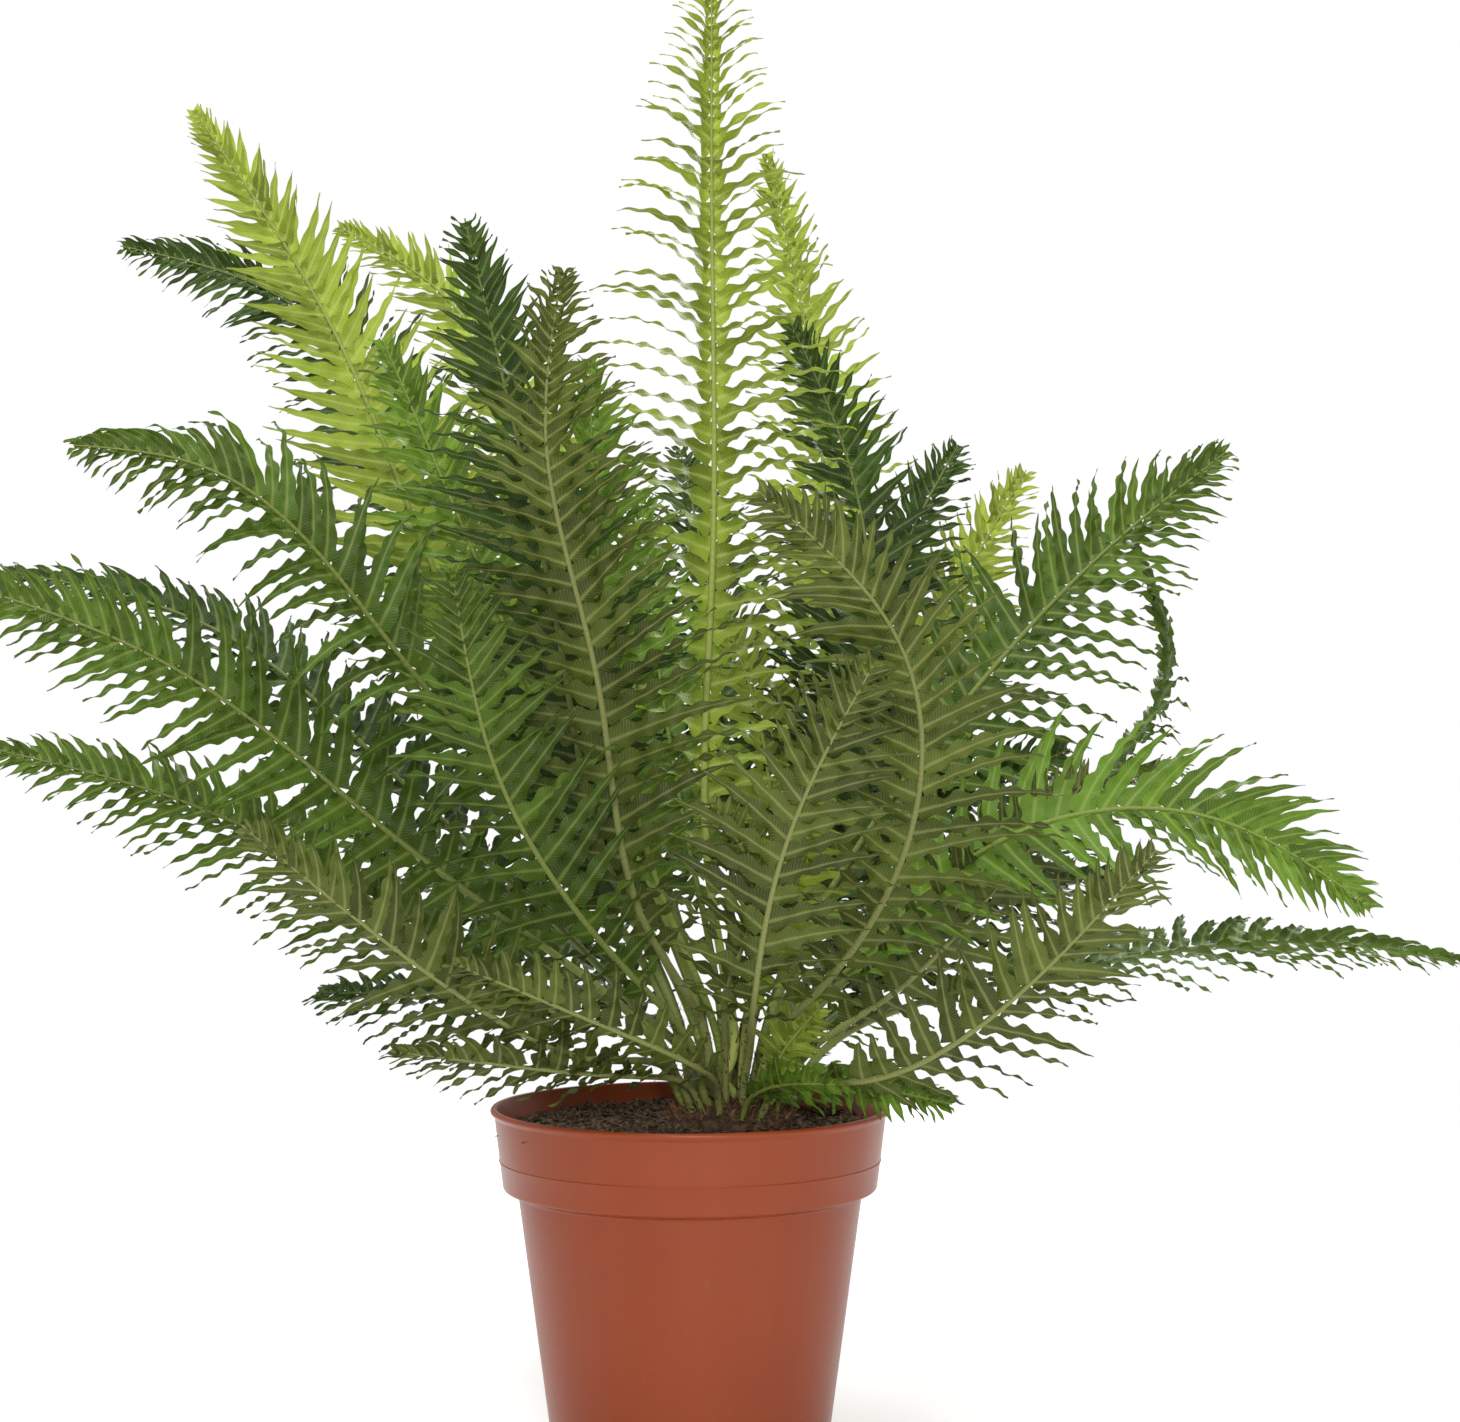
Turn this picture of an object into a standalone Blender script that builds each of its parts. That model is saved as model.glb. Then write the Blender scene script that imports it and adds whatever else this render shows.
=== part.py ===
"""Potted fern: a moulded nursery pot, potting mix, a scaly crown and its fronds.

Blender 4.5, metres, +Z up.  The origin is the centre of the pot's underside,
on the surface that the pot stands on.  Each frond is one closed solid: a stalk
whose two sides are drawn out into pinnae.
"""
import math

import bmesh
import bpy
import numpy as np
from mathutils.bvhtree import BVHTree

# ------------------------------------------------------------ driving dimensions
MM = 0.001
CM = 0.01
GAP = 0.3 * MM                      # clearance between pieces that touch

POT_HEIGHT = 170 * MM
RIM_RADIUS = 95.5 * MM              # outside of the rolled rim
COLLAR_TOP_RADIUS = 94.0 * MM
COLLAR_FOOT_RADIUS = 89.5 * MM
COLLAR_DEPTH = 38 * MM              # from the rim down to the collar's lower lip
BODY_TOP_RADIUS = 82 * MM           # just under the collar
BODY_FOOT_RADIUS = 65 * MM
WALL = 1.8 * MM
BEAD = 3 * MM                       # height of the rolled rim
STEP = 5 * MM                       # height of the shoulder between body and collar
PAD_RADIUS = 24 * MM                # flat pad in the middle of the underside
CHANNEL_RADIUS = 50 * MM            # outside of the raised ring that holds the drain holes
CHANNEL_LIFT = 4 * MM
DRAIN_HOLES = 8
DRAIN_RADIUS = 4.5 * MM
POT_SIDES = 48

SOIL_LEVEL = 160 * MM
SOIL_SWELL = 2.5 * MM               # how far the mix rises towards the crown
CROWN_CENTRE = np.array((20 * MM, 0.0))
CROWN_RADIUS = 31 * MM
CROWN_BASE = 150 * MM
CROWN_TOP = 174 * MM

FOOT_SPACING = 7.6 * MM             # between the feet of neighbouring stalks
FOOT_GAP = 0.35 * MM                # between a stalk's foot and the crown
STALK_CLEARANCE = 0.9 * MM          # between two stalks that pass each other
SAMPLE = 6 * MM                     # spacing of the points along a stalk
PINNA_PITCH = 15.5 * MM             # mean distance between pinnae on a stalk
LEAF_CLEARANCE = 0.45 * MM          # between a pinna and any other piece

# ------------------------------------------------------------ colours
TERRACOTTA = (0.34, 0.075, 0.028)
PEAT = (0.022, 0.014, 0.009)
SCALES = (0.055, 0.028, 0.014)
LEAF_COLOURS = {
    "young": (0.30, 0.46, 0.045),
    "mature": (0.10, 0.24, 0.035),
    "dark": (0.030, 0.085, 0.028),
    "olive": (0.105, 0.125, 0.045),
}

# ------------------------------------------------------------ frond plan
# name: (leaf age, longest pinna in cm, part of the length that is bare stalk,
#        compass direction and height in degrees that the upper face looks to,
#        hand-set route points in cm from above the crown to the tip)
FRONDS = {
    "tall_centre": ("young", 7.0, 0.22, (-90, 15), ((1, 1, 27), (1, 4, 42), (1, 6, 60), (1, 5, 73))),
    "tall_left_front": ("olive", 6.5, 0.20, (90, 15), ((-2, -5, 26), (-4, -9, 37), (-6, -14, 47), (-5, -20, 54))),
    "upper_left_bright": ("young", 6.0, 0.25, (-90, 25), ((-4, 3, 28), (-11, 5, 39), (-18, 7, 55), (-25, 7, 66))),
    "rear_left_tip": ("young", 5.5, 0.30, (-90, 30), ((-4, 12, 31), (-9, 19, 48), (-14, 23, 59), (-20, 24, 63))),
    "upper_left_dark": ("dark", 6.0, 0.30, (-110, 50), ((-5, 8, 29), (-14, 14, 45), (-22, 18, 58), (-31, 18, 61))),
    "left_mid_tall": ("dark", 6.0, 0.25, (90, 20), ((-4, -1, 29), (-6, -4, 39), (-8, -6, 49), (-10, -9, 58))),
    "rear_right_tip": ("young", 5.0, 0.35, (-90, 30), ((4, 12, 31), (7, 20, 47), (6, 24, 58), (4, 24, 67))),
    "right_centre_dark": ("dark", 5.5, 0.30, (-90, 20), ((6, 6, 29), (9, 10, 40), (8, 12, 49), (5, 11, 56))),
    "front_arch": ("olive", 6.5, 0.20, (90, 20), ((6, -5, 23), (10, -11, 31), (9, -16, 39), (3, -20, 45))),
    "right_high": ("mature", 7.5, 0.25, (-90, 40), ((8, 3, 29), (15, 6, 38), (22, 8, 45), (27, 8, 49))),
    "right_dark_tip": ("dark", 5.5, 0.30, (-90, 30), ((7, 9, 30), (10, 13, 42), (14, 15, 50))),
    "right_bright_rear": ("young", 5.0, 0.30, (-90, 30), ((8, 11, 28), (13, 17, 40), (18, 19, 49))),
    "right_curl": ("mature", 6.5, 0.30, (180, 25), ((12, 9, 25), (20, 13, 31), (25, 14, 38), (23, 13, 45))),
    "right_bright_arch": ("young", 7.0, 0.25, (-90, 45), ((8, -1, 24), (15, -3, 30), (24, -5, 31), (31, -7, 27))),
    "far_right": ("mature", 6.0, 0.25, (-90, 75), ((10, 5, 21), (20, 8, 23), (31, 11, 24), (40, 12, 23))),
    "low_right_front": ("olive", 5.0, 0.25, (90, 35), ((7, -7, 19), (14, -12, 23), (20, -16, 30))),
    "low_right_mid": ("olive", 5.0, 0.25, (90, 30), ((9, -1, 22), (14, -2, 27), (19, -2, 33))),
    "front_olive": ("olive", 5.5, 0.25, (90, 15), ((3, -9, 23), (4, -13, 29), (8, -18, 38))),
    "front_small": ("olive", 3.5, 0.30, (90, 15), ((2, -8, 24), (3, -11, 28), (1, -14, 32))),
    "unrolling": ("young", 2.5, 0.30, (-90, 15), ((3, -3, 23), (5, -5, 28), (6, -8, 33))),
    "left_front": ("mature", 5.5, 0.25, (90, 20), ((-2, -5, 23), (-8, -10, 32), (-10, -15, 42))),
    "left_high": ("mature", 7.0, 0.25, (-90, 50), ((-6, 0, 29), (-14, -3, 39), (-22, -6, 47), (-28, -7, 48))),
    "left_mid_dark": ("dark", 5.5, 0.25, (-90, 65), ((-4, 2, 23), (-14, 5, 32), (-24, 7, 40), (-35, 8, 43))),
    "left_mid_green": ("mature", 6.0, 0.25, (-90, 35), ((-6, -1, 24), (-14, -2, 30), (-24, -5, 38), (-34, -7, 42))),
    "left_low_green": ("mature", 5.5, 0.25, (-90, 45), ((-7, 6, 21), (-16, 9, 26), (-26, 12, 31), (-37, 13, 34))),
    "left_low_olive": ("olive", 5.0, 0.25, (90, 40), ((-4, -7, 20), (-11, -11, 24), (-19, -15, 31))),
    "low_left_brown": ("olive", 3.5, 0.25, (90, 55), ((-2, -5, 19), (-8, -9, 20), (-13, -12, 21))),
    "front_hanging": ("olive", 4.0, 0.20, (90, 40), ((1, -5, 19), (-4, -10, 22), (-10, -14, 25))),
    "rear_centre_left": ("mature", 5.0, 0.30, (-90, 25), ((0, 10, 28), (-2, 16, 39), (-3, 20, 48))),
    "left_inner": ("mature", 5.5, 0.30, (-90, 15), ((-1, 1, 26), (-4, 3, 38), (-5, 3, 53))),
    "rear_centre_right": ("young", 4.5, 0.35, (-90, 20), ((4, 9, 28), (3, 13, 37), (1, 15, 42))),
    "right_inner": ("dark", 5.0, 0.30, (-90, 40), ((5, 3, 24), (11, 5, 30), (19, 7, 34))),
    "right_low_rear": ("dark", 5.5, 0.30, (-90, 50), ((8, 8, 21), (14, 14, 25), (23, 20, 27))),
    "left_low_rear": ("dark", 5.0, 0.30, (-90, 60), ((-4, 6, 20), (-11, 10, 21), (-20, 15, 21))),
    "rear_left_inner": ("mature", 6.0, 0.30, (-90, 35), ((-2, 12, 29), (-6, 20, 40), (-12, 27, 50))),
    "rear_centre": ("dark", 6.0, 0.30, (-90, 35), ((2, 13, 29), (1, 21, 41), (-1, 28, 51))),
    "rear_right_inner": ("mature", 6.0, 0.30, (-90, 35), ((6, 10, 27), (12, 20, 37), (18, 28, 42))),
    "rear_low_left": ("dark", 5.5, 0.25, (-90, 60), ((-2, 8, 20), (-8, 17, 25), (-16, 27, 28))),
    "rear_low_right": ("mature", 5.5, 0.25, (-90, 60), ((5, 9, 20), (9, 18, 25), (15, 28, 26))),
    "rear_arch_left": ("olive", 5.5, 0.25, (-90, 50), ((-1, 9, 24), (-4, 17, 32), (-7, 26, 36), (-9, 31, 34))),
    "rear_arch_right": ("dark", 5.5, 0.25, (-90, 50), ((4, 9, 24), (7, 17, 33), (9, 25, 37), (12, 30, 35))),
    "rear_left_low": ("mature", 5.0, 0.25, (-100, 60), ((-6, 8, 22), (-15, 16, 28), (-25, 22, 30))),
    "rear_right_low": ("olive", 5.0, 0.25, (-80, 60), ((8, 10, 22), (17, 18, 29), (27, 22, 33))),
    "upper_left_inner": ("mature", 5.5, 0.30, (-90, 20), ((-4, 0, 29), (-9, 1, 40), (-15, 2, 54))),
    "low_front_lobed": ("mature", 1.6, 0.25, (90, 30), ((3, -4, 18), (7, -8, 19))),
    "low_right_upright": ("young", 1.6, 0.35, (-90, 20), ((4, -2, 18), (6, -4, 22))),
    "low_right_small": ("young", 1.8, 0.35, (-90, 45), ((6, -5, 19), (12, -7, 18))),
    "low_rear_small": ("mature", 2.0, 0.30, (-90, 50), ((5, 4, 19), (10, 10, 21))),
}


# ------------------------------------------------------------ scene helpers
def clear_scene():
    for old in list(bpy.data.objects):
        bpy.data.objects.remove(old, do_unlink=True)


def material(name, colour, roughness):
    made = bpy.data.materials.get(name)
    if made is None:
        made = bpy.data.materials.new(name)
        made.use_nodes = True
        shader = made.node_tree.nodes["Principled BSDF"]
        shader.inputs["Base Color"].default_value = (*colour, 1.0)
        shader.inputs["Roughness"].default_value = roughness
        shader.inputs["Metallic"].default_value = 0.0
    return made


def add_object(name, vertices, faces, finish, smooth_angle=None):
    mesh = bpy.data.meshes.new(name)
    mesh.from_pydata([tuple(v) for v in vertices], [], faces)
    mesh.validate()
    mesh.update()
    made = bpy.data.objects.new(name, mesh)
    bpy.context.scene.collection.objects.link(made)
    mesh.materials.append(finish)
    if smooth_angle is not None:
        mesh.shade_smooth()
        mesh.set_sharp_from_angle(angle=math.radians(smooth_angle))
    return made


def lathe(profile, sides):
    """Turn (radius, height) points about Z; a radius of 0 closes the end."""
    vertices = []
    rings = []
    for radius, height in profile:
        if radius == 0.0:
            rings.append([len(vertices)])
            vertices.append((0.0, 0.0, height))
            continue
        rings.append(list(range(len(vertices), len(vertices) + sides)))
        for k in range(sides):
            a = 2 * math.pi * k / sides
            vertices.append((radius * math.cos(a), radius * math.sin(a), height))
    faces = []
    for low, high in zip(rings, rings[1:]):
        faces += ring_faces(low, high)
    return vertices, faces


def ring_faces(low, high):
    count = max(len(low), len(high))
    faces = []
    for k in range(count):
        n = (k + 1) % count
        if len(low) == 1:
            faces.append((low[0], high[n], high[k]))
        elif len(high) == 1:
            faces.append((low[k], low[n], high[0]))
        else:
            faces.append((low[k], low[n], high[n], high[k]))
    return faces


# ------------------------------------------------------------ pot and potting mix
def body_radius(height):
    """Outer radius of the tapering body below the collar."""
    body_top = POT_HEIGHT - COLLAR_DEPTH - STEP
    return BODY_FOOT_RADIUS + (BODY_TOP_RADIUS - BODY_FOOT_RADIUS) * height / body_top


def floor_outline(lift, edge):
    """The stepped floor from the middle outwards, raised by lift."""
    slope = 3 * MM
    return [
        (0.0, lift),
        (PAD_RADIUS, lift),
        (PAD_RADIUS + slope, CHANNEL_LIFT + lift),
        (CHANNEL_RADIUS, CHANNEL_LIFT + lift),
        (CHANNEL_RADIUS + slope, lift),
        (edge, lift),
    ]


def pot_outline():
    body_top = POT_HEIGHT - COLLAR_DEPTH - STEP
    lip = POT_HEIGHT - COLLAR_DEPTH
    outside = [
        (BODY_FOOT_RADIUS, 1.5 * MM),
        (BODY_TOP_RADIUS, body_top),
        (BODY_TOP_RADIUS + 1.2 * MM, body_top + 2.0 * MM),
        (COLLAR_FOOT_RADIUS - 1.2 * MM, lip - 1.0 * MM),
        (COLLAR_FOOT_RADIUS, lip + 1.0 * MM),
        (COLLAR_TOP_RADIUS, POT_HEIGHT - BEAD - 1.0 * MM),
        (RIM_RADIUS, POT_HEIGHT - BEAD),
        (RIM_RADIUS, POT_HEIGHT - 0.8 * MM),
        (RIM_RADIUS - 0.8 * MM, POT_HEIGHT),
        (COLLAR_TOP_RADIUS - WALL + 0.6 * MM, POT_HEIGHT),
    ]
    inside = [
        (COLLAR_TOP_RADIUS - WALL, POT_HEIGHT - 0.8 * MM),
        (COLLAR_FOOT_RADIUS - WALL, lip + 1.5 * MM),
        (BODY_TOP_RADIUS - WALL, body_top + 1.0 * MM),
    ]
    inner_foot = BODY_FOOT_RADIUS - WALL
    underside = floor_outline(0.0, BODY_FOOT_RADIUS - 1.5 * MM)
    inner_floor = floor_outline(WALL, inner_foot)
    return underside + outside + inside + inner_floor[::-1]


def build_pot():
    vertices, faces = lathe(pot_outline(), POT_SIDES)
    pot = add_object("pot", vertices, faces, material("terracotta_plastic", TERRACOTTA, 0.48), 35)
    ring = (PAD_RADIUS + CHANNEL_RADIUS + 3 * MM) / 2
    for k in range(DRAIN_HOLES):
        a = 2 * math.pi * (k + 0.5) / DRAIN_HOLES
        bpy.ops.mesh.primitive_cylinder_add(vertices=12, radius=DRAIN_RADIUS, depth=12 * MM,
                                            location=(ring * math.cos(a), ring * math.sin(a), 5 * MM))
        cutter = bpy.context.active_object
        cutter.name = f"cutter_drain_hole_{k + 1}"
        cutter.hide_render = True
        cutter.display_type = "WIRE"
        cut = pot.modifiers.new(f"drain_hole_{k + 1}", "BOOLEAN")
        cut.operation = "DIFFERENCE"
        cut.object = cutter
    return pot


def crown_profile(inflate=0.0):
    """(radius, height) points of the crown, from its sunken base to its top."""
    middle = SOIL_LEVEL + SOIL_SWELL
    points = [(0.0, CROWN_BASE - inflate), (0.55 * CROWN_RADIUS + inflate, CROWN_BASE - inflate),
              (0.92 * CROWN_RADIUS + inflate, CROWN_BASE + 4 * MM)]
    for k in range(6):
        a = k / 6 * math.pi / 2
        points.append(((CROWN_RADIUS + inflate) * math.cos(a), middle + (CROWN_TOP + inflate - middle) * math.sin(a)))
    points.append((0.0, CROWN_TOP + inflate))
    return points


def dome(x, y):
    """Point and outward normal of the crown's dome above plan position x, y."""
    middle = SOIL_LEVEL + SOIL_SWELL
    height = CROWN_TOP - middle
    dx, dy = x - CROWN_CENTRE[0], y - CROWN_CENTRE[1]
    rise = math.sqrt(max(0.0, 1.0 - (dx * dx + dy * dy) / CROWN_RADIUS ** 2))
    normal = np.array((dx / CROWN_RADIUS ** 2, dy / CROWN_RADIUS ** 2, rise / height))
    return np.array((x, y, middle + height * rise)), normal / np.linalg.norm(normal)


def build_crown():
    vertices, faces = lathe(crown_profile(), 28)
    moved = [(x + CROWN_CENTRE[0], y + CROWN_CENTRE[1], z) for x, y, z in vertices]
    return add_object("crown", moved, faces, material("brown_scales", SCALES, 0.85), 50)


def soil_rings():
    """(centre x, radius, height) rings: up the wall, across the top, into the crown's socket."""
    lip = POT_HEIGHT - COLLAR_DEPTH
    body_top = lip - STEP
    inner_foot = BODY_FOOT_RADIUS - WALL - GAP
    rings = [(0.0, r, z) for r, z in floor_outline(WALL + GAP, inner_foot - GAP)]
    rings += [
        (0.0, BODY_TOP_RADIUS - WALL - 2 * GAP, body_top + 1.0 * MM),
        (0.0, COLLAR_FOOT_RADIUS - WALL - 2 * GAP, lip + 2.2 * MM),
        (0.0, COLLAR_FOOT_RADIUS - WALL + 1.9 * MM, SOIL_LEVEL - 6 * MM),
        (0.0, COLLAR_FOOT_RADIUS - WALL + 1.2 * MM, SOIL_LEVEL - 1.5 * MM),
    ]
    outer = COLLAR_FOOT_RADIUS - WALL + 1.2 * MM
    socket = CROWN_RADIUS + 2 * GAP
    for k in (1, 2, 3):
        part = k / 3
        swell = SOIL_SWELL * part ** 2
        rings.append((CROWN_CENTRE[0] * part, outer + (socket - outer) * part, SOIL_LEVEL - 0.8 * MM + swell))
    x = CROWN_CENTRE[0]
    rings += [
        (x, 0.92 * CROWN_RADIUS + 2 * GAP, CROWN_BASE + 4 * MM - GAP),
        (x, 0.55 * CROWN_RADIUS + 2 * GAP, CROWN_BASE - GAP),
        (x, 0.0, CROWN_BASE - GAP),
    ]
    return rings


def build_soil():
    rings = soil_rings()
    vertices, faces = lathe([(r, z) for _, r, z in rings], 36)
    shifts = []
    for x, r, _ in rings:
        shifts += [x] * (1 if r == 0.0 else 36)
    moved = []
    for (x, y, z), shift in zip(vertices, shifts):
        ripple = 0.0
        on_top = SOIL_LEVEL - 1.2 * MM < z < SOIL_LEVEL + SOIL_SWELL - 1.0 * MM
        if on_top:
            ripple = 1.1 * MM * math.sin(93 * x + 1) * math.cos(71 * y)
        moved.append((x + shift, y, z + ripple))
    return add_object("soil", moved, faces, material("potting_mix", PEAT, 0.95), 50)


# ------------------------------------------------------------ stalk routes
def smooth_curve(points, step):
    """Natural cubic through the points, resampled about every step along its length."""
    points = np.array(points, float)
    chord = np.concatenate([[0.0], np.cumsum(np.linalg.norm(np.diff(points, axis=0), axis=1))])
    h = np.diff(chord)
    n = len(points)
    matrix = np.eye(n)
    right = np.zeros((n, 3))
    for i in range(1, n - 1):
        matrix[i, i - 1:i + 2] = (h[i - 1], 2 * (h[i - 1] + h[i]), h[i])
        right[i] = 6 * ((points[i + 1] - points[i]) / h[i] - (points[i] - points[i - 1]) / h[i - 1])
    bend = np.linalg.solve(matrix, right)
    fine = []
    for i in range(n - 1):
        for t in np.linspace(0, 1, 40, endpoint=(i == n - 2)):
            a, b = 1 - t, t
            fine.append(a * points[i] + b * points[i + 1]
                        + h[i] ** 2 / 6 * ((a ** 3 - a) * bend[i] + (b ** 3 - b) * bend[i + 1]))
    return resample(np.array(fine), step)


def resample(line, step):
    along = np.concatenate([[0.0], np.cumsum(np.linalg.norm(np.diff(line, axis=0), axis=1))])
    count = max(8, int(round(along[-1] / step)))
    wanted = np.linspace(0, along[-1], count + 1)
    return np.stack([np.interp(wanted, along, line[:, k]) for k in range(3)], axis=1)


def stalk_radius(name, part):
    """Half the stalk's width at a part (0 foot, 1 tip) of its length."""
    longest = FRONDS[name][1]
    foot = (0.8 + 0.17 * longest) * MM
    return foot * (1 - part) ** 0.8 + 0.35 * MM


def place_feet():
    """Spread the feet over the crown: steep fronds inside, low ones at its edge."""
    feet = []
    for age, longest, bare, face, route in FRONDS.values():
        away = np.array(route[0][:2]) * CM - CROWN_CENTRE
        rise = route[0][2] * CM - CROWN_TOP
        lean = math.atan2(np.linalg.norm(away), max(rise, 5 * MM)) / (math.pi / 2)
        feet.append(away / np.linalg.norm(away) * lean * (CROWN_RADIUS - 4 * MM))
    feet = np.array(feet)
    reach = CROWN_RADIUS - 2.6 * MM
    for _ in range(200):
        apart = feet[:, None] - feet[None]
        distance = np.linalg.norm(apart, axis=2) + np.eye(len(feet))
        push = np.clip(FOOT_SPACING - distance, 0, None) * (1 - np.eye(len(feet)))
        feet = feet + 0.3 * (apart / distance[..., None] * push[..., None]).sum(axis=1)
        size = np.linalg.norm(feet, axis=1)
        feet *= np.minimum(1.0, reach / np.maximum(size, 1e-9))[:, None]
    return feet + CROWN_CENTRE


def stalk_lines():
    """Centre lines from the crown to each tip, pushed apart where two would touch."""
    lines = []
    for foot, (age, longest, bare, face, route) in zip(place_feet(), FRONDS.values()):
        start, normal = dome(*foot)
        start = start + normal * FOOT_GAP
        first = np.array(route[0]) * CM
        toward = (first - start) / np.linalg.norm(first - start)
        upright = unit(normal + toward + np.array((0, 0, 1)))
        leave = start + upright * min(18 * MM, 0.3 * np.linalg.norm(first - start))
        lines.append(smooth_curve([start, leave] + [np.array(p) * CM for p in route], SAMPLE))
    return separate(lines)


def separate(lines):
    names = list(FRONDS)
    owner = np.concatenate([[i] * len(line) for i, line in enumerate(lines)])
    radius = np.concatenate([[stalk_radius(names[i], p) for p in np.linspace(0, 1, len(line))]
                             for i, line in enumerate(lines)])
    ends = np.cumsum([len(line) for line in lines])[:-1]
    points = np.concatenate(lines)
    free = np.concatenate([np.clip(np.arange(len(line)) / 1.0, 0, 1) for line in lines])
    other = owner[:, None] != owner[None]
    need = 1.4 * (radius[:, None] + radius[None]) + STALK_CLEARANCE
    for _ in range(90):
        square = (points ** 2).sum(axis=1)
        distance = np.sqrt(np.maximum(square[:, None] + square[None] - 2 * points @ points.T, 1e-12))
        reach = np.sqrt(need ** 2 + (SAMPLE / 2) ** 2)
        close = other & (distance < reach)
        if not close.any():
            break
        moves = np.zeros_like(points)
        for i, j in zip(*np.nonzero(close)):
            moves[i] += (points[i] - points[j]) / distance[i, j] * (reach[i, j] - distance[i, j]) * 0.5
        spread = [soften(m) for m in np.split(moves, ends)]
        points = points + np.concatenate(spread) * free[:, None]
    return [resample(line, SAMPLE) for line in np.split(points, ends)]


def soften(moves):
    """Spread a sideways push over a few neighbouring points of the stalk."""
    kernel = np.exp(-0.5 * (np.arange(-9, 10) / 2.5) ** 2)
    kernel /= kernel.max()
    padded = np.pad(moves, ((9, 9), (0, 0)))
    wide = np.stack([np.convolve(padded[:, k], kernel, mode="valid") for k in range(3)], axis=1)
    size = np.linalg.norm(wide, axis=1).max()
    largest = np.linalg.norm(moves, axis=1).max()
    return wide * (largest / size) if size > largest > 0 else wide


def frames(line, face):
    """Tangent, side and upper-face direction at every point, without needless twist."""
    tangent = np.gradient(line, axis=0)
    tangent /= np.linalg.norm(tangent, axis=1)[:, None]
    compass, height = math.radians(face[0]), math.radians(face[1])
    wanted = np.array((math.cos(compass) * math.cos(height), math.sin(compass) * math.cos(height), math.sin(height)))
    upper = np.zeros_like(line)
    middle = int(0.6 * len(line))
    upper[middle] = unit(wanted - wanted.dot(tangent[middle]) * tangent[middle])
    for i in range(middle + 1, len(line)):
        upper[i] = unit(upper[i - 1] - upper[i - 1].dot(tangent[i]) * tangent[i])
    for i in range(middle - 1, -1, -1):
        upper[i] = unit(upper[i + 1] - upper[i + 1].dot(tangent[i]) * tangent[i])
    return tangent, np.cross(tangent, upper), upper


def unit(vector):
    return vector / np.linalg.norm(vector)


# ------------------------------------------------------------ fronds
def pinna_length(longest, part):
    """Pinna length at a part (0 lowest, 1 tip) of the leafy blade."""
    rising = min(1.0, 0.22 + 2.4 * part)
    falling = (1 - part ** 1.7) ** 0.9
    return longest * CM * rising * falling + 3 * MM


def sections(name, line):
    """Places along the stalk where its cross-section is drawn: bare stalk, then pinnae."""
    age, longest, bare, face, route = FRONDS[name]
    length = SAMPLE * (len(line) - 1)
    leafy = length * (1 - bare)
    pairs = max(7, int(round(leafy / min(PINNA_PITCH, longest * 0.45 * CM))))
    plain = max(4, int(round(length * bare / (16 * MM))))
    stalk = [bare * (k / plain) ** 1.4 for k in range(plain)]
    blade = [bare + (1 - bare) * (1 - (1 - k / pairs) ** 1.25) for k in range(pairs + 1)]
    blade[-1] = 1.0
    return stalk, blade


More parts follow.
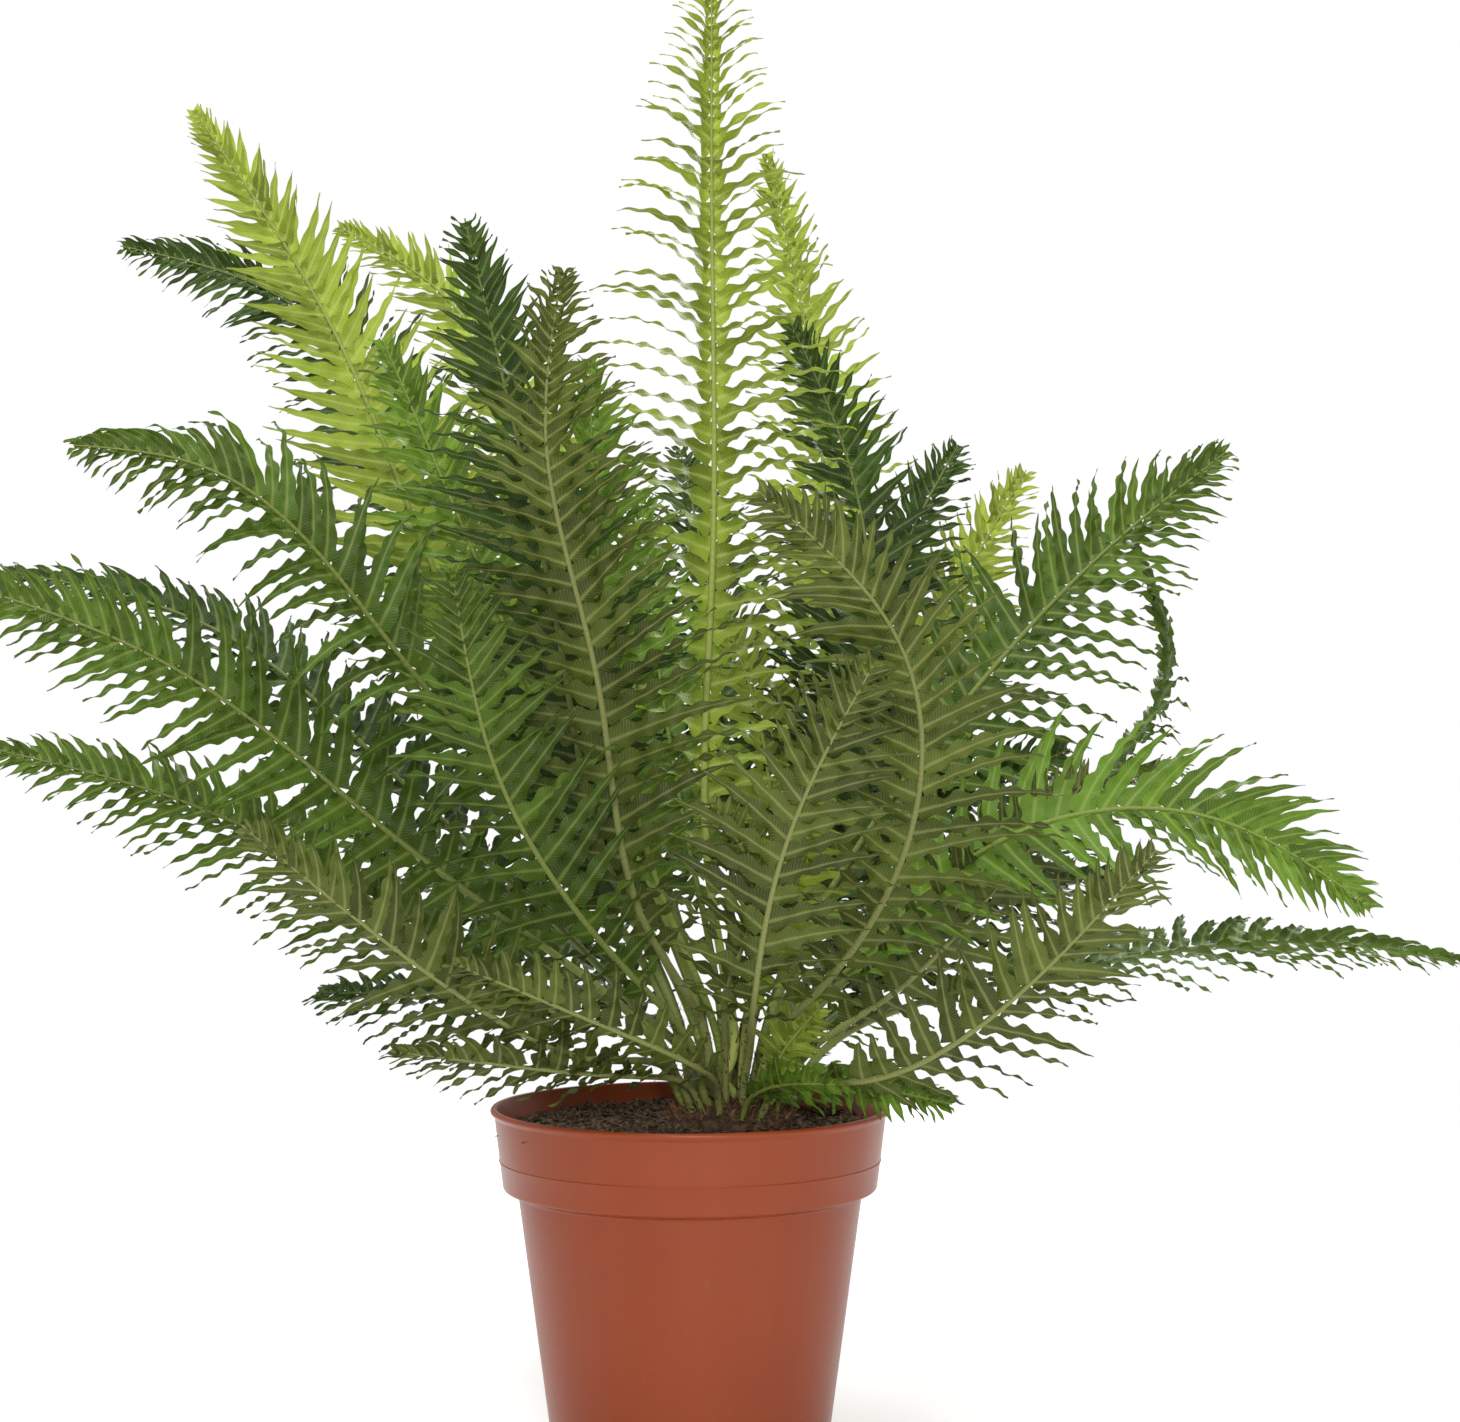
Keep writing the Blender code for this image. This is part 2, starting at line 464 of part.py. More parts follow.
class Frond:
    """A stalk of four-cornered sections; pinna k springs from the side between two sections."""

    def __init__(self, name, line):
        self.name = name
        self.longest = FRONDS[name][1]
        self.line = line
        self.tangent, self.side, self.upper = frames(line, FRONDS[name][3])
        self.bare, self.blade = sections(name, line)
        self.corners = [self.section(p) for p in self.bare + self.blade[:-1]]
        self.tip = self.at(self.line, 1.0)
        self.pinnae = []

    def at(self, values, part):
        place = part * (len(self.line) - 1)
        low = min(int(place), len(self.line) - 2)
        return values[low] + (values[low + 1] - values[low]) * (place - low)

    def section(self, part):
        """Corners: right lower, right upper, left upper, left lower."""
        centre = self.at(self.line, part)
        side = unit(self.at(self.side, part))
        upper = unit(self.at(self.upper, part))
        half = stalk_radius(self.name, part)
        thick = half * (1.0 - 0.35 * min(1.0, 3 * part))
        if part == 0.0:
            side, upper = self.on_crown(centre, side)
        return [centre + half * side - thick * upper, centre + half * side + thick * upper,
                centre - half * side + thick * upper, centre - half * side - thick * upper]

    def on_crown(self, centre, side):
        """Turn the lowest section flat onto the crown's dome."""
        normal = dome(centre[0], centre[1])[1]
        side = unit(side - side.dot(normal) * normal)
        return side, np.cross(side, normal) * np.sign(np.cross(side, normal).dot(self.upper[0]))

    def base(self, k, hand):
        """The four stalk corners that pinna k grows from, in order round its foot."""
        low = self.corners[len(self.bare) + k]
        high = self.corners[len(self.bare) + k + 1]
        if hand > 0:
            return [low[0], high[0], high[1], low[1]]
        return [low[3], low[2], high[2], high[3]]

    def shape(self, k, hand, lift, shrink):
        """Middle section and tip of pinna k when lifted (degrees) and shortened."""
        base = self.base(k, hand)
        part = (self.blade[k] + self.blade[k + 1]) / 2
        along = (k + 0.5) / (len(self.blade) - 1)
        tangent = unit(self.at(self.tangent, part))
        side = unit(self.at(self.side, part)) * hand
        upper = unit(self.at(self.upper, part))
        splay = math.radians(72 - 34 * along ** 2)
        rise = math.radians(10 + lift)
        out = math.sin(splay) * (math.cos(rise) * side + math.sin(rise) * upper) + math.cos(splay) * tangent
        length = pinna_length(self.longest, along) * shrink
        centre = sum(base) / 4
        droop = np.array((0, 0, -1)) * length * 0.10
        tip = centre + out * length + droop + tangent * length * 0.06
        middle = centre + out * length * 0.52
        wide = np.linalg.norm(base[1] - base[0]) * 0.30
        thin = 0.55 * MM
        across = unit(tangent - tangent.dot(out) * out)
        face = unit(np.cross(out, across)) * hand
        ring = [middle - wide * across - thin * face * hand, middle + wide * across - thin * face * hand,
                middle + wide * across + thin * face * hand, middle - wide * across + thin * face * hand]
        if hand < 0:
            ring = [ring[0], ring[3], ring[2], ring[1]]
        return ring, tip

    def solid(self):
        """Vertices and faces of the whole frond as one closed body."""
        vertices = [corner for section in self.corners for corner in section] + [self.tip]
        tip = len(vertices) - 1
        count = len(self.corners)
        grown = {(k, hand) for k, hand, ring, point in self.pinnae}
        faces = [(0, 1, 2, 3)]
        for k in range(count - 1):
            a, b = 4 * k, 4 * k + 4
            faces.append((a + 1, b + 1, b + 2, a + 2))
            faces.append((a + 3, b + 3, b, a))
            if (k - len(self.bare), 1) not in grown:
                faces.append((a, b, b + 1, a + 1))
            if (k - len(self.bare), -1) not in grown:
                faces.append((a + 2, b + 2, b + 3, a + 3))
        a = 4 * (count - 1)
        faces += [(a, tip, a + 1), (a + 1, tip, a + 2), (a + 2, tip, a + 3), (a + 3, tip, a)]
        for k, hand, ring, point in self.pinnae:
            a = 4 * (len(self.bare) + k)
            foot = [a, a + 4, a + 5, a + 1] if hand > 0 else [a + 3, a + 2, a + 6, a + 7]
            if ring is not None:
                start = len(vertices)
                vertices += ring
                upper = list(range(start, start + 4))
                faces += [(foot[i], foot[(i + 1) % 4], upper[(i + 1) % 4], upper[i]) for i in range(4)]
                foot = upper
            vertices.append(point)
            faces += [(foot[i], foot[(i + 1) % 4], len(vertices) - 1) for i in range(4)]
        return vertices, faces


def tube_tree(frond):
    """A slightly fat copy of a bare stalk, as an obstacle for other fronds' pinnae."""
    vertices = []
    for section in frond.corners:
        centre = sum(section) / 4
        for corner in section:
            out = corner - centre
            vertices.append(corner + out / np.linalg.norm(out) * LEAF_CLEARANCE)
    faces = []
    for k in range(len(frond.corners) - 1):
        a, b = 4 * k, 4 * k + 4
        for i in range(4):
            n = (i + 1) % 4
            faces.append((a + i, a + n, b + n, b + i))
    past = frond.tip + unit(frond.tip - sum(frond.corners[-1]) / 4) * LEAF_CLEARANCE
    vertices.append(past)
    last = len(vertices) - 1
    faces += [(last - 4 + i, last - 4 + (i + 1) % 4, last) for i in range(4)]
    return BVHTree.FromPolygons([tuple(v) for v in vertices], faces)


def swollen(base, ring, tip):
    """A pinna grown by the leaf clearance on every side, as vertices and faces."""
    core = sum(base) / 4
    out = unit(tip - core)
    points = [b + out * 0.8 * MM for b in base]
    if ring is not None:
        points += ring
    centres = [sum(points[i:i + 4]) / 4 for i in range(0, len(points), 4)]
    grown = []
    for i, p in enumerate(points):
        away = p - centres[i // 4]
        grown.append(p + away / np.linalg.norm(away) * LEAF_CLEARANCE * 1.5)
    grown.append(tip + out * LEAF_CLEARANCE)
    last = len(grown) - 1
    faces = []
    for row in range(0, last - 4, 4):
        faces += [(row + i, row + (i + 1) % 4, row + 4 + (i + 1) % 4, row + 4 + i) for i in range(4)]
    row = last - 4
    faces += [(row + i, row + (i + 1) % 4, last) for i in range(4)]
    return grown, faces


TRIES = [(0, 1.0), (14, 1.0), (-14, 1.0), (28, 1.0), (-28, 1.0), (42, 0.95), (-42, 0.95), (0, 0.75), (22, 0.75),
         (-22, 0.75), (0, 0.55), (22, 0.55), (-22, 0.55), (45, 0.55), (0, 0.35), (30, 0.35), (-30, 0.35),
         (0, 0.2), (0, 0.1)]


def grow_pinnae(frond, obstacles, long_pinna=50 * MM):
    """Give the frond its pinnae, each turned or shortened until it clears all other pieces.

    Where even a stub would touch a neighbour, the stalk stays bare."""
    own = {1: [], -1: []}
    for k in range(len(frond.blade) - 2):
        for hand in (1, -1):
            base = frond.base(k, hand)
            nearby = obstacles + own[hand][-4:-1]
            for lift, shrink in TRIES:
                ring, tip = frond.shape(k, hand, lift, shrink)
                if np.linalg.norm(tip - sum(base) / 4) < long_pinna:
                    ring = None
                points, faces = swollen(base, ring, tip)
                probe = BVHTree.FromPolygons([tuple(p) for p in points], faces)
                if not any(probe.overlap(tree) for tree in nearby):
                    frond.pinnae.append((k, hand, ring, tip))
                    own[hand].append(probe)
                    break


def object_tree(made):
    depsgraph = bpy.context.evaluated_depsgraph_get()
    return BVHTree.FromObject(made, depsgraph)


def build_fronds(fixed):
    fronds = [Frond(name, line) for name, line in zip(FRONDS, stalk_lines())]
    stalks = [tube_tree(frond) for frond in fronds]
    grown = []
    for i, frond in enumerate(fronds):
        others = [tree for j, tree in enumerate(stalks) if j > i]
        grow_pinnae(frond, [object_tree(piece) for piece in fixed] + others + grown)
        vertices, faces = frond.solid()
        grown.append(BVHTree.FromPolygons([tuple(v) for v in vertices], faces))
        age = FRONDS[frond.name][0]
        made = add_object(f"frond_{frond.name}", vertices, faces, material(f"leaf_{age}", LEAF_COLOURS[age], 0.42))
        face_outwards(made)


def face_outwards(made):
    """Split the four-cornered faces into triangles, all facing out."""
    work = bmesh.new()
    work.from_mesh(made.data)
    bmesh.ops.triangulate(work, faces=work.faces)
    bmesh.ops.recalc_face_normals(work, faces=work.faces)
    work.to_mesh(made.data)
    work.free()


def main():
    clear_scene()
    fixed = [build_pot(), build_soil(), build_crown()]
    build_fronds(fixed)


main()
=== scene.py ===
"""Looks of the potted fern: wavy fronds, scaly crown, fibrous mix, moulded pot, studio and camera.

Metres, +Z up, in the CAD model's frame.  Each frond repeats its CAD stalk's route,
and carries thin, rippled pinnae, closer together than the CAD model's.
"""
import math

import bpy
import numpy as np
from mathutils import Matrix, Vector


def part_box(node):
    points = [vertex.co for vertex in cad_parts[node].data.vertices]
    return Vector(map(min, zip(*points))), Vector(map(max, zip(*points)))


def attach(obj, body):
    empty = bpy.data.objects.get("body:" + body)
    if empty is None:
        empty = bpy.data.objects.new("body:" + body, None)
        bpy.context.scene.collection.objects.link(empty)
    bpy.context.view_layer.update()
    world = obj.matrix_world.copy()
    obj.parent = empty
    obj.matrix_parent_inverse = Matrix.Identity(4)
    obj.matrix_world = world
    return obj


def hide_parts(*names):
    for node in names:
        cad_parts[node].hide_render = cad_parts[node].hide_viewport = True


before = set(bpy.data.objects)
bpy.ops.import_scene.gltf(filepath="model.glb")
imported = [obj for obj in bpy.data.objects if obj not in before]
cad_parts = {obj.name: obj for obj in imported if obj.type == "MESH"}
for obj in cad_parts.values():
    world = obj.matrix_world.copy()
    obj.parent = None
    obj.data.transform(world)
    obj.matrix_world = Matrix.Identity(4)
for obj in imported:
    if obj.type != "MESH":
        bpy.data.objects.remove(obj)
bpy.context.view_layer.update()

# ------------------------------------------------------------ driving dimensions
MM = 0.001
CM = 0.01

POT_TOP = float(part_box("pot")[1][2])
RIM_RADIUS = float(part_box("pot")[1][0])
COLLAR_TOP_RADIUS = RIM_RADIUS - 1.5 * MM
COLLAR_FOOT_RADIUS = RIM_RADIUS - 6.0 * MM
COLLAR_DEPTH = 38 * MM
BODY_TOP_RADIUS = RIM_RADIUS - 13.5 * MM
BODY_FOOT_RADIUS = RIM_RADIUS - 30.5 * MM
STEP = 5 * MM                       # height of the sloped step under the collar
BEAD = 3 * MM                       # height of the rolled bead on the rim
WALL = 1.8 * MM
MOULD_LINE_DEPTH = 25 * MM          # of the fine line round the collar, below the rim
PAD_RADIUS = 24 * MM                # flat middle of the underside
CHANNEL_RADIUS = 50 * MM            # outside of the raised ring round the pad
CHANNEL_LIFT = 4 * MM
CHANNEL_SLOPE = 3 * MM
FOOT_ROUNDING = 1.5 * MM            # of the corner between the underside and the wall
POT_SIDES = 192

SOIL_LEVEL = 160 * MM
SOIL_SWELL = 2.5 * MM
CROWN_TOP = float(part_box("crown")[1][2])
CROWN_CENTRE = np.array((20 * MM, 0.0))
CROWN_RADIUS = 31 * MM
FOOT_SPACING = 7.6 * MM             # between the middles of two stalks' feet
FOOT_GAP = 0.35 * MM                # between a stalk's foot and the crown
STALK_CLEARANCE = 0.9 * MM          # between two stalks that pass each other
SAMPLE = 6 * MM                     # between two points of a stalk

PINNA_PITCH = 14 * MM               # between pinnae low on a big frond
PITCH_TAPER = 0.74                  # part of the pitch that is gone at the tip
PINNA_HALF_WIDTH = 5.7 * MM
PINNA_REACH = 1.08                  # lengths of pinnae beside those in the frond plan
SPLAY = 74                          # degrees between a low pinna and its stalk
SPLAY_TAPER = 36                    # degrees of it that are gone at the tip
RISE = 8                            # degrees that a pinna stands off its frond's face
WAVE = 12.5 * MM                    # length of one ripple of a pinna's margin
RIPPLE_HEIGHT = 0.36                # of a pinna's half width
SCALLOP = 0.13                      # part by which a ripple widens the margin
FOLD = 0.16                         # how far the margins stand off the midrib, of the half width
ROWS_PER_WAVE = 6
ACROSS = (-1.0, -0.55, 0.0, 0.55, 1.0)
STALK_SIDES = 8
STALK_MARK = 2.0                    # value of "across" that tells a stalk from a blade
VEIN_SLANT = 3.2 * MM
VEIN_DENSITY = 4200.0               # radians to a metre of pinna

CRUMBS = 1500
CRUMB_TILES = 40                    # to a side of the crumbs' UV square
FIBRE_SHARE = 0.35                  # of the crumbs
CROWN_SCALES = 900
STALK_SCALES = 40                   # on each stalk's foot

CAMERA_PLACE = (0.019, -1.418, 0.359)
CAMERA_LENS = 73.0

# ------------------------------------------------------------ colours (linear)
POT_COLOUR = (0.235, 0.040, 0.008)
POT_DARK = (0.175, 0.026, 0.005)
POT_STREAK = (0.30, 0.062, 0.018)
POT_DUST = (0.20, 0.09, 0.05)
PEAT = (0.030, 0.020, 0.012)
PEAT_LIGHT = (0.10, 0.065, 0.035)
CRUMB_LIGHT = (0.16, 0.10, 0.055)
SCALE_BROWN = (0.085, 0.042, 0.020)
SCALE_LIGHT = (0.20, 0.11, 0.055)
CROWN_DARK = (0.035, 0.02, 0.012)
CROWN_LIGHT = (0.12, 0.07, 0.035)
WORN_EDGE = (0.20, 0.13, 0.05)
FLOOR_COLOUR = (0.93, 0.93, 0.92)
# blade, blade where it is freshest, midrib, how much light shines through
LEAVES = {
    "young": ((0.170, 0.255, 0.018), (0.360, 0.440, 0.055), (0.46, 0.52, 0.14), 0.42),
    "bright": ((0.070, 0.150, 0.010), (0.150, 0.255, 0.024), (0.30, 0.38, 0.08), 0.34),
    "mature": ((0.036, 0.078, 0.006), (0.105, 0.180, 0.016), (0.27, 0.32, 0.08), 0.32),
    "dark": ((0.016, 0.040, 0.005), (0.050, 0.100, 0.013), (0.22, 0.27, 0.07), 0.24),
    "olive": ((0.046, 0.066, 0.008), (0.105, 0.135, 0.020), (0.29, 0.31, 0.10), 0.24),
}
# fronds whose blades have a look of their own within their slot
LOOKS = dict.fromkeys(("right_bright_arch", "left_inner", "rear_centre_left", "upper_left_inner",
                       "rear_right_inner", "low_right_small", "low_front_lobed", "low_rear_small"),
                      "bright")
# how far pinnae turn edge-on like a blind (degrees), how much their ends hang, and ripple height;
# other fronds take the first row
HABITS = {
    "usual": (16, 0.30, 1.25),
    "tall_centre": (55, 0.62, 0.9),
    "tall_left_front": (22, 0.38, 1.35),
    "upper_left_bright": (5, 0.10, 0.7),
    "rear_left_tip": (10, 0.12, 0.8),
    "upper_left_dark": (25, 0.50, 1.0),
    "front_arch": (20, 0.45, 1.1),
    "right_high": (12, 0.42, 1.6),
    "right_curl": (35, 0.75, 1.2),
    "right_bright_arch": (10, 0.18, 0.9),
    "far_right": (30, 0.35, 1.1),
    "left_high": (30, 0.70, 1.3),
    "left_mid_dark": (30, 0.35, 1.1),
    "left_mid_green": (12, 0.28, 1.4),
    "left_low_green": (15, 0.35, 1.1),
    "low_right_front": (12, 0.25, 1.1),
}

# ------------------------------------------------------------ frond plan
# name: (leaf age, longest pinna in cm, part of the length that is bare stalk,
#        compass direction and height in degrees that the upper face looks to,
#        route points in cm from above the crown to the tip)
FRONDS = {
    "tall_centre": ("young", 7.0, 0.22, (-90, 15), ((1, 1, 27), (1, 4, 42), (1, 6, 60), (1, 5, 73))),
    "tall_left_front": ("olive", 6.5, 0.20, (90, 15),
                        ((-2, -5, 26), (-4, -9, 37), (-6, -14, 47), (-5, -20, 54))),
    "upper_left_bright": ("young", 6.0, 0.25, (-90, 25),
                          ((-4, 3, 28), (-11, 5, 39), (-18, 7, 55), (-25, 7, 66))),
    "rear_left_tip": ("young", 5.5, 0.30, (-90, 30),
                      ((-4, 12, 31), (-9, 19, 48), (-14, 23, 59), (-20, 24, 63))),
    "upper_left_dark": ("dark", 6.0, 0.30, (-110, 50),
                        ((-5, 8, 29), (-14, 14, 45), (-22, 18, 58), (-31, 18, 61))),
    "left_mid_tall": ("dark", 6.0, 0.25, (90, 20),
                      ((-4, -1, 29), (-6, -4, 39), (-8, -6, 49), (-10, -9, 58))),
    "rear_right_tip": ("young", 5.0, 0.35, (-90, 30), ((4, 12, 31), (7, 20, 47), (6, 24, 58), (4, 24, 67))),
    "right_centre_dark": ("dark", 5.5, 0.30, (-90, 20),
                          ((6, 6, 29), (9, 10, 40), (8, 12, 49), (5, 11, 56))),
    "front_arch": ("olive", 6.5, 0.20, (90, 20), ((6, -5, 23), (10, -11, 31), (9, -16, 39), (3, -20, 45))),
    "right_high": ("mature", 7.5, 0.25, (-90, 40), ((8, 3, 29), (15, 6, 38), (22, 8, 45), (27, 8, 49))),
    "right_dark_tip": ("dark", 5.5, 0.30, (-90, 30), ((7, 9, 30), (10, 13, 42), (14, 15, 50))),
    "right_bright_rear": ("young", 5.0, 0.30, (-90, 30), ((8, 11, 28), (13, 17, 40), (18, 19, 49))),
    "right_curl": ("mature", 6.5, 0.30, (180, 25), ((12, 9, 25), (20, 13, 31), (25, 14, 38), (23, 13, 45))),
    "right_bright_arch": ("young", 7.0, 0.25, (-90, 45),
                          ((8, -1, 24), (15, -3, 30), (24, -5, 31), (31, -7, 27))),
    "far_right": ("mature", 6.0, 0.25, (-90, 75), ((10, 5, 21), (20, 8, 23), (31, 11, 24), (40, 12, 23))),
    "low_right_front": ("olive", 5.0, 0.25, (90, 35), ((7, -7, 19), (14, -12, 23), (20, -16, 30))),
    "low_right_mid": ("olive", 5.0, 0.25, (90, 30), ((9, -1, 22), (14, -2, 27), (19, -2, 33))),
    "front_olive": ("olive", 5.5, 0.25, (90, 15), ((3, -9, 23), (4, -13, 29), (8, -18, 38))),
    "front_small": ("olive", 3.5, 0.30, (90, 15), ((2, -8, 24), (3, -11, 28), (1, -14, 32))),
    "unrolling": ("young", 2.5, 0.30, (-90, 15), ((3, -3, 23), (5, -5, 28), (6, -8, 33))),
    "left_front": ("mature", 5.5, 0.25, (90, 20), ((-2, -5, 23), (-8, -10, 32), (-10, -15, 42))),
    "left_high": ("mature", 7.0, 0.25, (-90, 50),
                  ((-6, 0, 29), (-14, -3, 39), (-22, -6, 47), (-28, -7, 48))),
    "left_mid_dark": ("dark", 5.5, 0.25, (-90, 65),
                      ((-4, 2, 23), (-14, 5, 32), (-24, 7, 40), (-35, 8, 43))),
    "left_mid_green": ("mature", 6.0, 0.25, (-90, 35),
                       ((-6, -1, 24), (-14, -2, 30), (-24, -5, 38), (-34, -7, 42))),
    "left_low_green": ("mature", 5.5, 0.25, (-90, 45),
                       ((-7, 6, 21), (-16, 9, 26), (-26, 12, 31), (-37, 13, 34))),
    "left_low_olive": ("olive", 5.0, 0.25, (90, 40), ((-4, -7, 20), (-11, -11, 24), (-19, -15, 31))),
    "low_left_brown": ("olive", 3.5, 0.25, (90, 55), ((-2, -5, 19), (-8, -9, 20), (-13, -12, 21))),
    "front_hanging": ("olive", 4.0, 0.20, (90, 40), ((1, -5, 19), (-4, -10, 22), (-10, -14, 25))),
    "rear_centre_left": ("mature", 5.0, 0.30, (-90, 25), ((0, 10, 28), (-2, 16, 39), (-3, 20, 48))),
    "left_inner": ("mature", 5.5, 0.30, (-90, 15), ((-1, 1, 26), (-4, 3, 38), (-5, 3, 53))),
    "rear_centre_right": ("young", 4.5, 0.35, (-90, 20), ((4, 9, 28), (3, 13, 37), (1, 15, 42))),
    "right_inner": ("dark", 5.0, 0.30, (-90, 40), ((5, 3, 24), (11, 5, 30), (19, 7, 34))),
    "right_low_rear": ("dark", 5.5, 0.30, (-90, 50), ((8, 8, 21), (14, 14, 25), (23, 20, 27))),
    "left_low_rear": ("dark", 5.0, 0.30, (-90, 60), ((-4, 6, 20), (-11, 10, 21), (-20, 15, 21))),
    "rear_left_inner": ("mature", 6.0, 0.30, (-90, 35), ((-2, 12, 29), (-6, 20, 40), (-12, 27, 50))),
    "rear_centre": ("dark", 6.0, 0.30, (-90, 35), ((2, 13, 29), (1, 21, 41), (-1, 28, 51))),
    "rear_right_inner": ("mature", 6.0, 0.30, (-90, 35), ((6, 10, 27), (12, 20, 37), (18, 28, 42))),
    "rear_low_left": ("dark", 5.5, 0.25, (-90, 60), ((-2, 8, 20), (-8, 17, 25), (-16, 27, 28))),
    "rear_low_right": ("mature", 5.5, 0.25, (-90, 60), ((5, 9, 20), (9, 18, 25), (15, 28, 26))),
    "rear_arch_left": ("olive", 5.5, 0.25, (-90, 50),
                       ((-1, 9, 24), (-4, 17, 32), (-7, 26, 36), (-9, 31, 34))),
    "rear_arch_right": ("dark", 5.5, 0.25, (-90, 50), ((4, 9, 24), (7, 17, 33), (9, 25, 37), (12, 30, 35))),
    "rear_left_low": ("mature", 5.0, 0.25, (-100, 60), ((-6, 8, 22), (-15, 16, 28), (-25, 22, 30))),
    "rear_right_low": ("olive", 5.0, 0.25, (-80, 60), ((8, 10, 22), (17, 18, 29), (27, 22, 33))),
    "upper_left_inner": ("mature", 5.5, 0.30, (-90, 20), ((-4, 0, 29), (-9, 1, 40), (-15, 2, 54))),
    "low_front_lobed": ("mature", 1.6, 0.25, (90, 30), ((3, -4, 18), (7, -8, 19))),
    "low_right_upright": ("young", 1.6, 0.35, (-90, 20), ((4, -2, 18), (6, -4, 22))),
    "low_right_small": ("young", 1.8, 0.35, (-90, 45), ((6, -5, 19), (12, -7, 18))),
    "low_rear_small": ("mature", 2.0, 0.30, (-90, 50), ((5, 4, 19), (10, 10, 21))),
}


# ------------------------------------------------------------ crown
def dome(x, y):
    """Point and outward normal of the crown's dome above plan position x, y."""
    middle = SOIL_LEVEL + SOIL_SWELL
    height = CROWN_TOP - middle
    dx, dy = x - CROWN_CENTRE[0], y - CROWN_CENTRE[1]
    rise = math.sqrt(max(0.0, 1.0 - (dx * dx + dy * dy) / CROWN_RADIUS ** 2))
    normal = np.array((dx / CROWN_RADIUS ** 2, dy / CROWN_RADIUS ** 2, rise / height))
    return np.array((x, y, middle + height * rise)), normal / np.linalg.norm(normal)


# ------------------------------------------------------------ stalk routes
def smooth_curve(points, step):
    """Natural cubic through the points, resampled about every step along its length."""
    points = np.array(points, float)
    chord = np.concatenate([[0.0], np.cumsum(np.linalg.norm(np.diff(points, axis=0), axis=1))])
    h = np.diff(chord)
    n = len(points)
    matrix = np.eye(n)
    right = np.zeros((n, 3))
    for i in range(1, n - 1):
        matrix[i, i - 1:i + 2] = (h[i - 1], 2 * (h[i - 1] + h[i]), h[i])
        right[i] = 6 * ((points[i + 1] - points[i]) / h[i] - (points[i] - points[i - 1]) / h[i - 1])
    bend = np.linalg.solve(matrix, right)
    fine = []
    for i in range(n - 1):
        for t in np.linspace(0, 1, 40, endpoint=(i == n - 2)):
            a, b = 1 - t, t
            fine.append(a * points[i] + b * points[i + 1]
                        + h[i] ** 2 / 6 * ((a ** 3 - a) * bend[i] + (b ** 3 - b) * bend[i + 1]))
    return resample(np.array(fine), step)


def resample(line, step):
    """The line with its points spaced evenly, about a step apart."""
    along = np.concatenate([[0.0], np.cumsum(np.linalg.norm(np.diff(line, axis=0), axis=1))])
    count = max(8, int(round(along[-1] / step)))
    wanted = np.linspace(0, along[-1], count + 1)
    return np.stack([np.interp(wanted, along, line[:, k]) for k in range(3)], axis=1)


def stalk_radius(name, part):
    """Half the stalk's width at a part (0 foot, 1 tip) of its length."""
    longest = FRONDS[name][1]
    foot = (0.8 + 0.17 * longest) * MM
    return foot * (1 - part) ** 0.8 + 0.35 * MM


def place_feet():
    """Spread the feet over the crown: steep fronds inside, low ones at its edge."""
    feet = []
    for *_, route in FRONDS.values():
        away = np.array(route[0][:2]) * CM - CROWN_CENTRE
        rise = route[0][2] * CM - CROWN_TOP
        lean = math.atan2(np.linalg.norm(away), max(rise, 5 * MM)) / (math.pi / 2)
        feet.append(away / np.linalg.norm(away) * lean * (CROWN_RADIUS - 4 * MM))
    feet = np.array(feet)
    reach = CROWN_RADIUS - 2.6 * MM
    for _ in range(200):
        apart = feet[:, None] - feet[None]
        distance = np.linalg.norm(apart, axis=2) + np.eye(len(feet))
        push = np.clip(FOOT_SPACING - distance, 0, None) * (1 - np.eye(len(feet)))
        feet = feet + 0.3 * (apart / distance[..., None] * push[..., None]).sum(axis=1)
        size = np.linalg.norm(feet, axis=1)
        feet *= np.minimum(1.0, reach / np.maximum(size, 1e-9))[:, None]
    return feet + CROWN_CENTRE


def stalk_lines():
    """Centre lines from the crown to each tip, pushed apart where two would touch."""
    lines = []
    for foot, (*_, route) in zip(place_feet(), FRONDS.values()):
        start, normal = dome(*foot)
        start = start + normal * FOOT_GAP
        first = np.array(route[0]) * CM
        toward = (first - start) / np.linalg.norm(first - start)
        upright = unit(normal + toward + np.array((0, 0, 1)))
        leave = start + upright * min(18 * MM, 0.3 * np.linalg.norm(first - start))
        lines.append(smooth_curve([start, leave] + [np.array(p) * CM for p in route], SAMPLE))
    return separate(lines)


def separate(lines):
    """Push the points of different stalks apart until none are too near."""
    names = list(FRONDS)
    owner = np.concatenate([[i] * len(line) for i, line in enumerate(lines)])
    radius = np.concatenate([[stalk_radius(names[i], p) for p in np.linspace(0, 1, len(line))]
                             for i, line in enumerate(lines)])
    ends = np.cumsum([len(line) for line in lines])[:-1]
    points = np.concatenate(lines)
    free = np.concatenate([np.minimum(np.arange(len(line)), 1.0) for line in lines])
    other = owner[:, None] != owner[None]
    need = 1.4 * (radius[:, None] + radius[None]) + STALK_CLEARANCE
    for _ in range(90):
        square = (points ** 2).sum(axis=1)
        distance = np.sqrt(np.maximum(square[:, None] + square[None] - 2 * points @ points.T, 1e-12))
        reach = np.sqrt(need ** 2 + (SAMPLE / 2) ** 2)
        close = other & (distance < reach)
        if not close.any():
            break
        moves = np.zeros_like(points)
        for i, j in zip(*np.nonzero(close)):
            direction = (points[i] - points[j]) / distance[i, j]
            moves[i] += direction * (reach[i, j] - distance[i, j]) * 0.5
        spread = [soften(m) for m in np.split(moves, ends)]
        points = points + np.concatenate(spread) * free[:, None]
    return [resample(line, SAMPLE) for line in np.split(points, ends)]


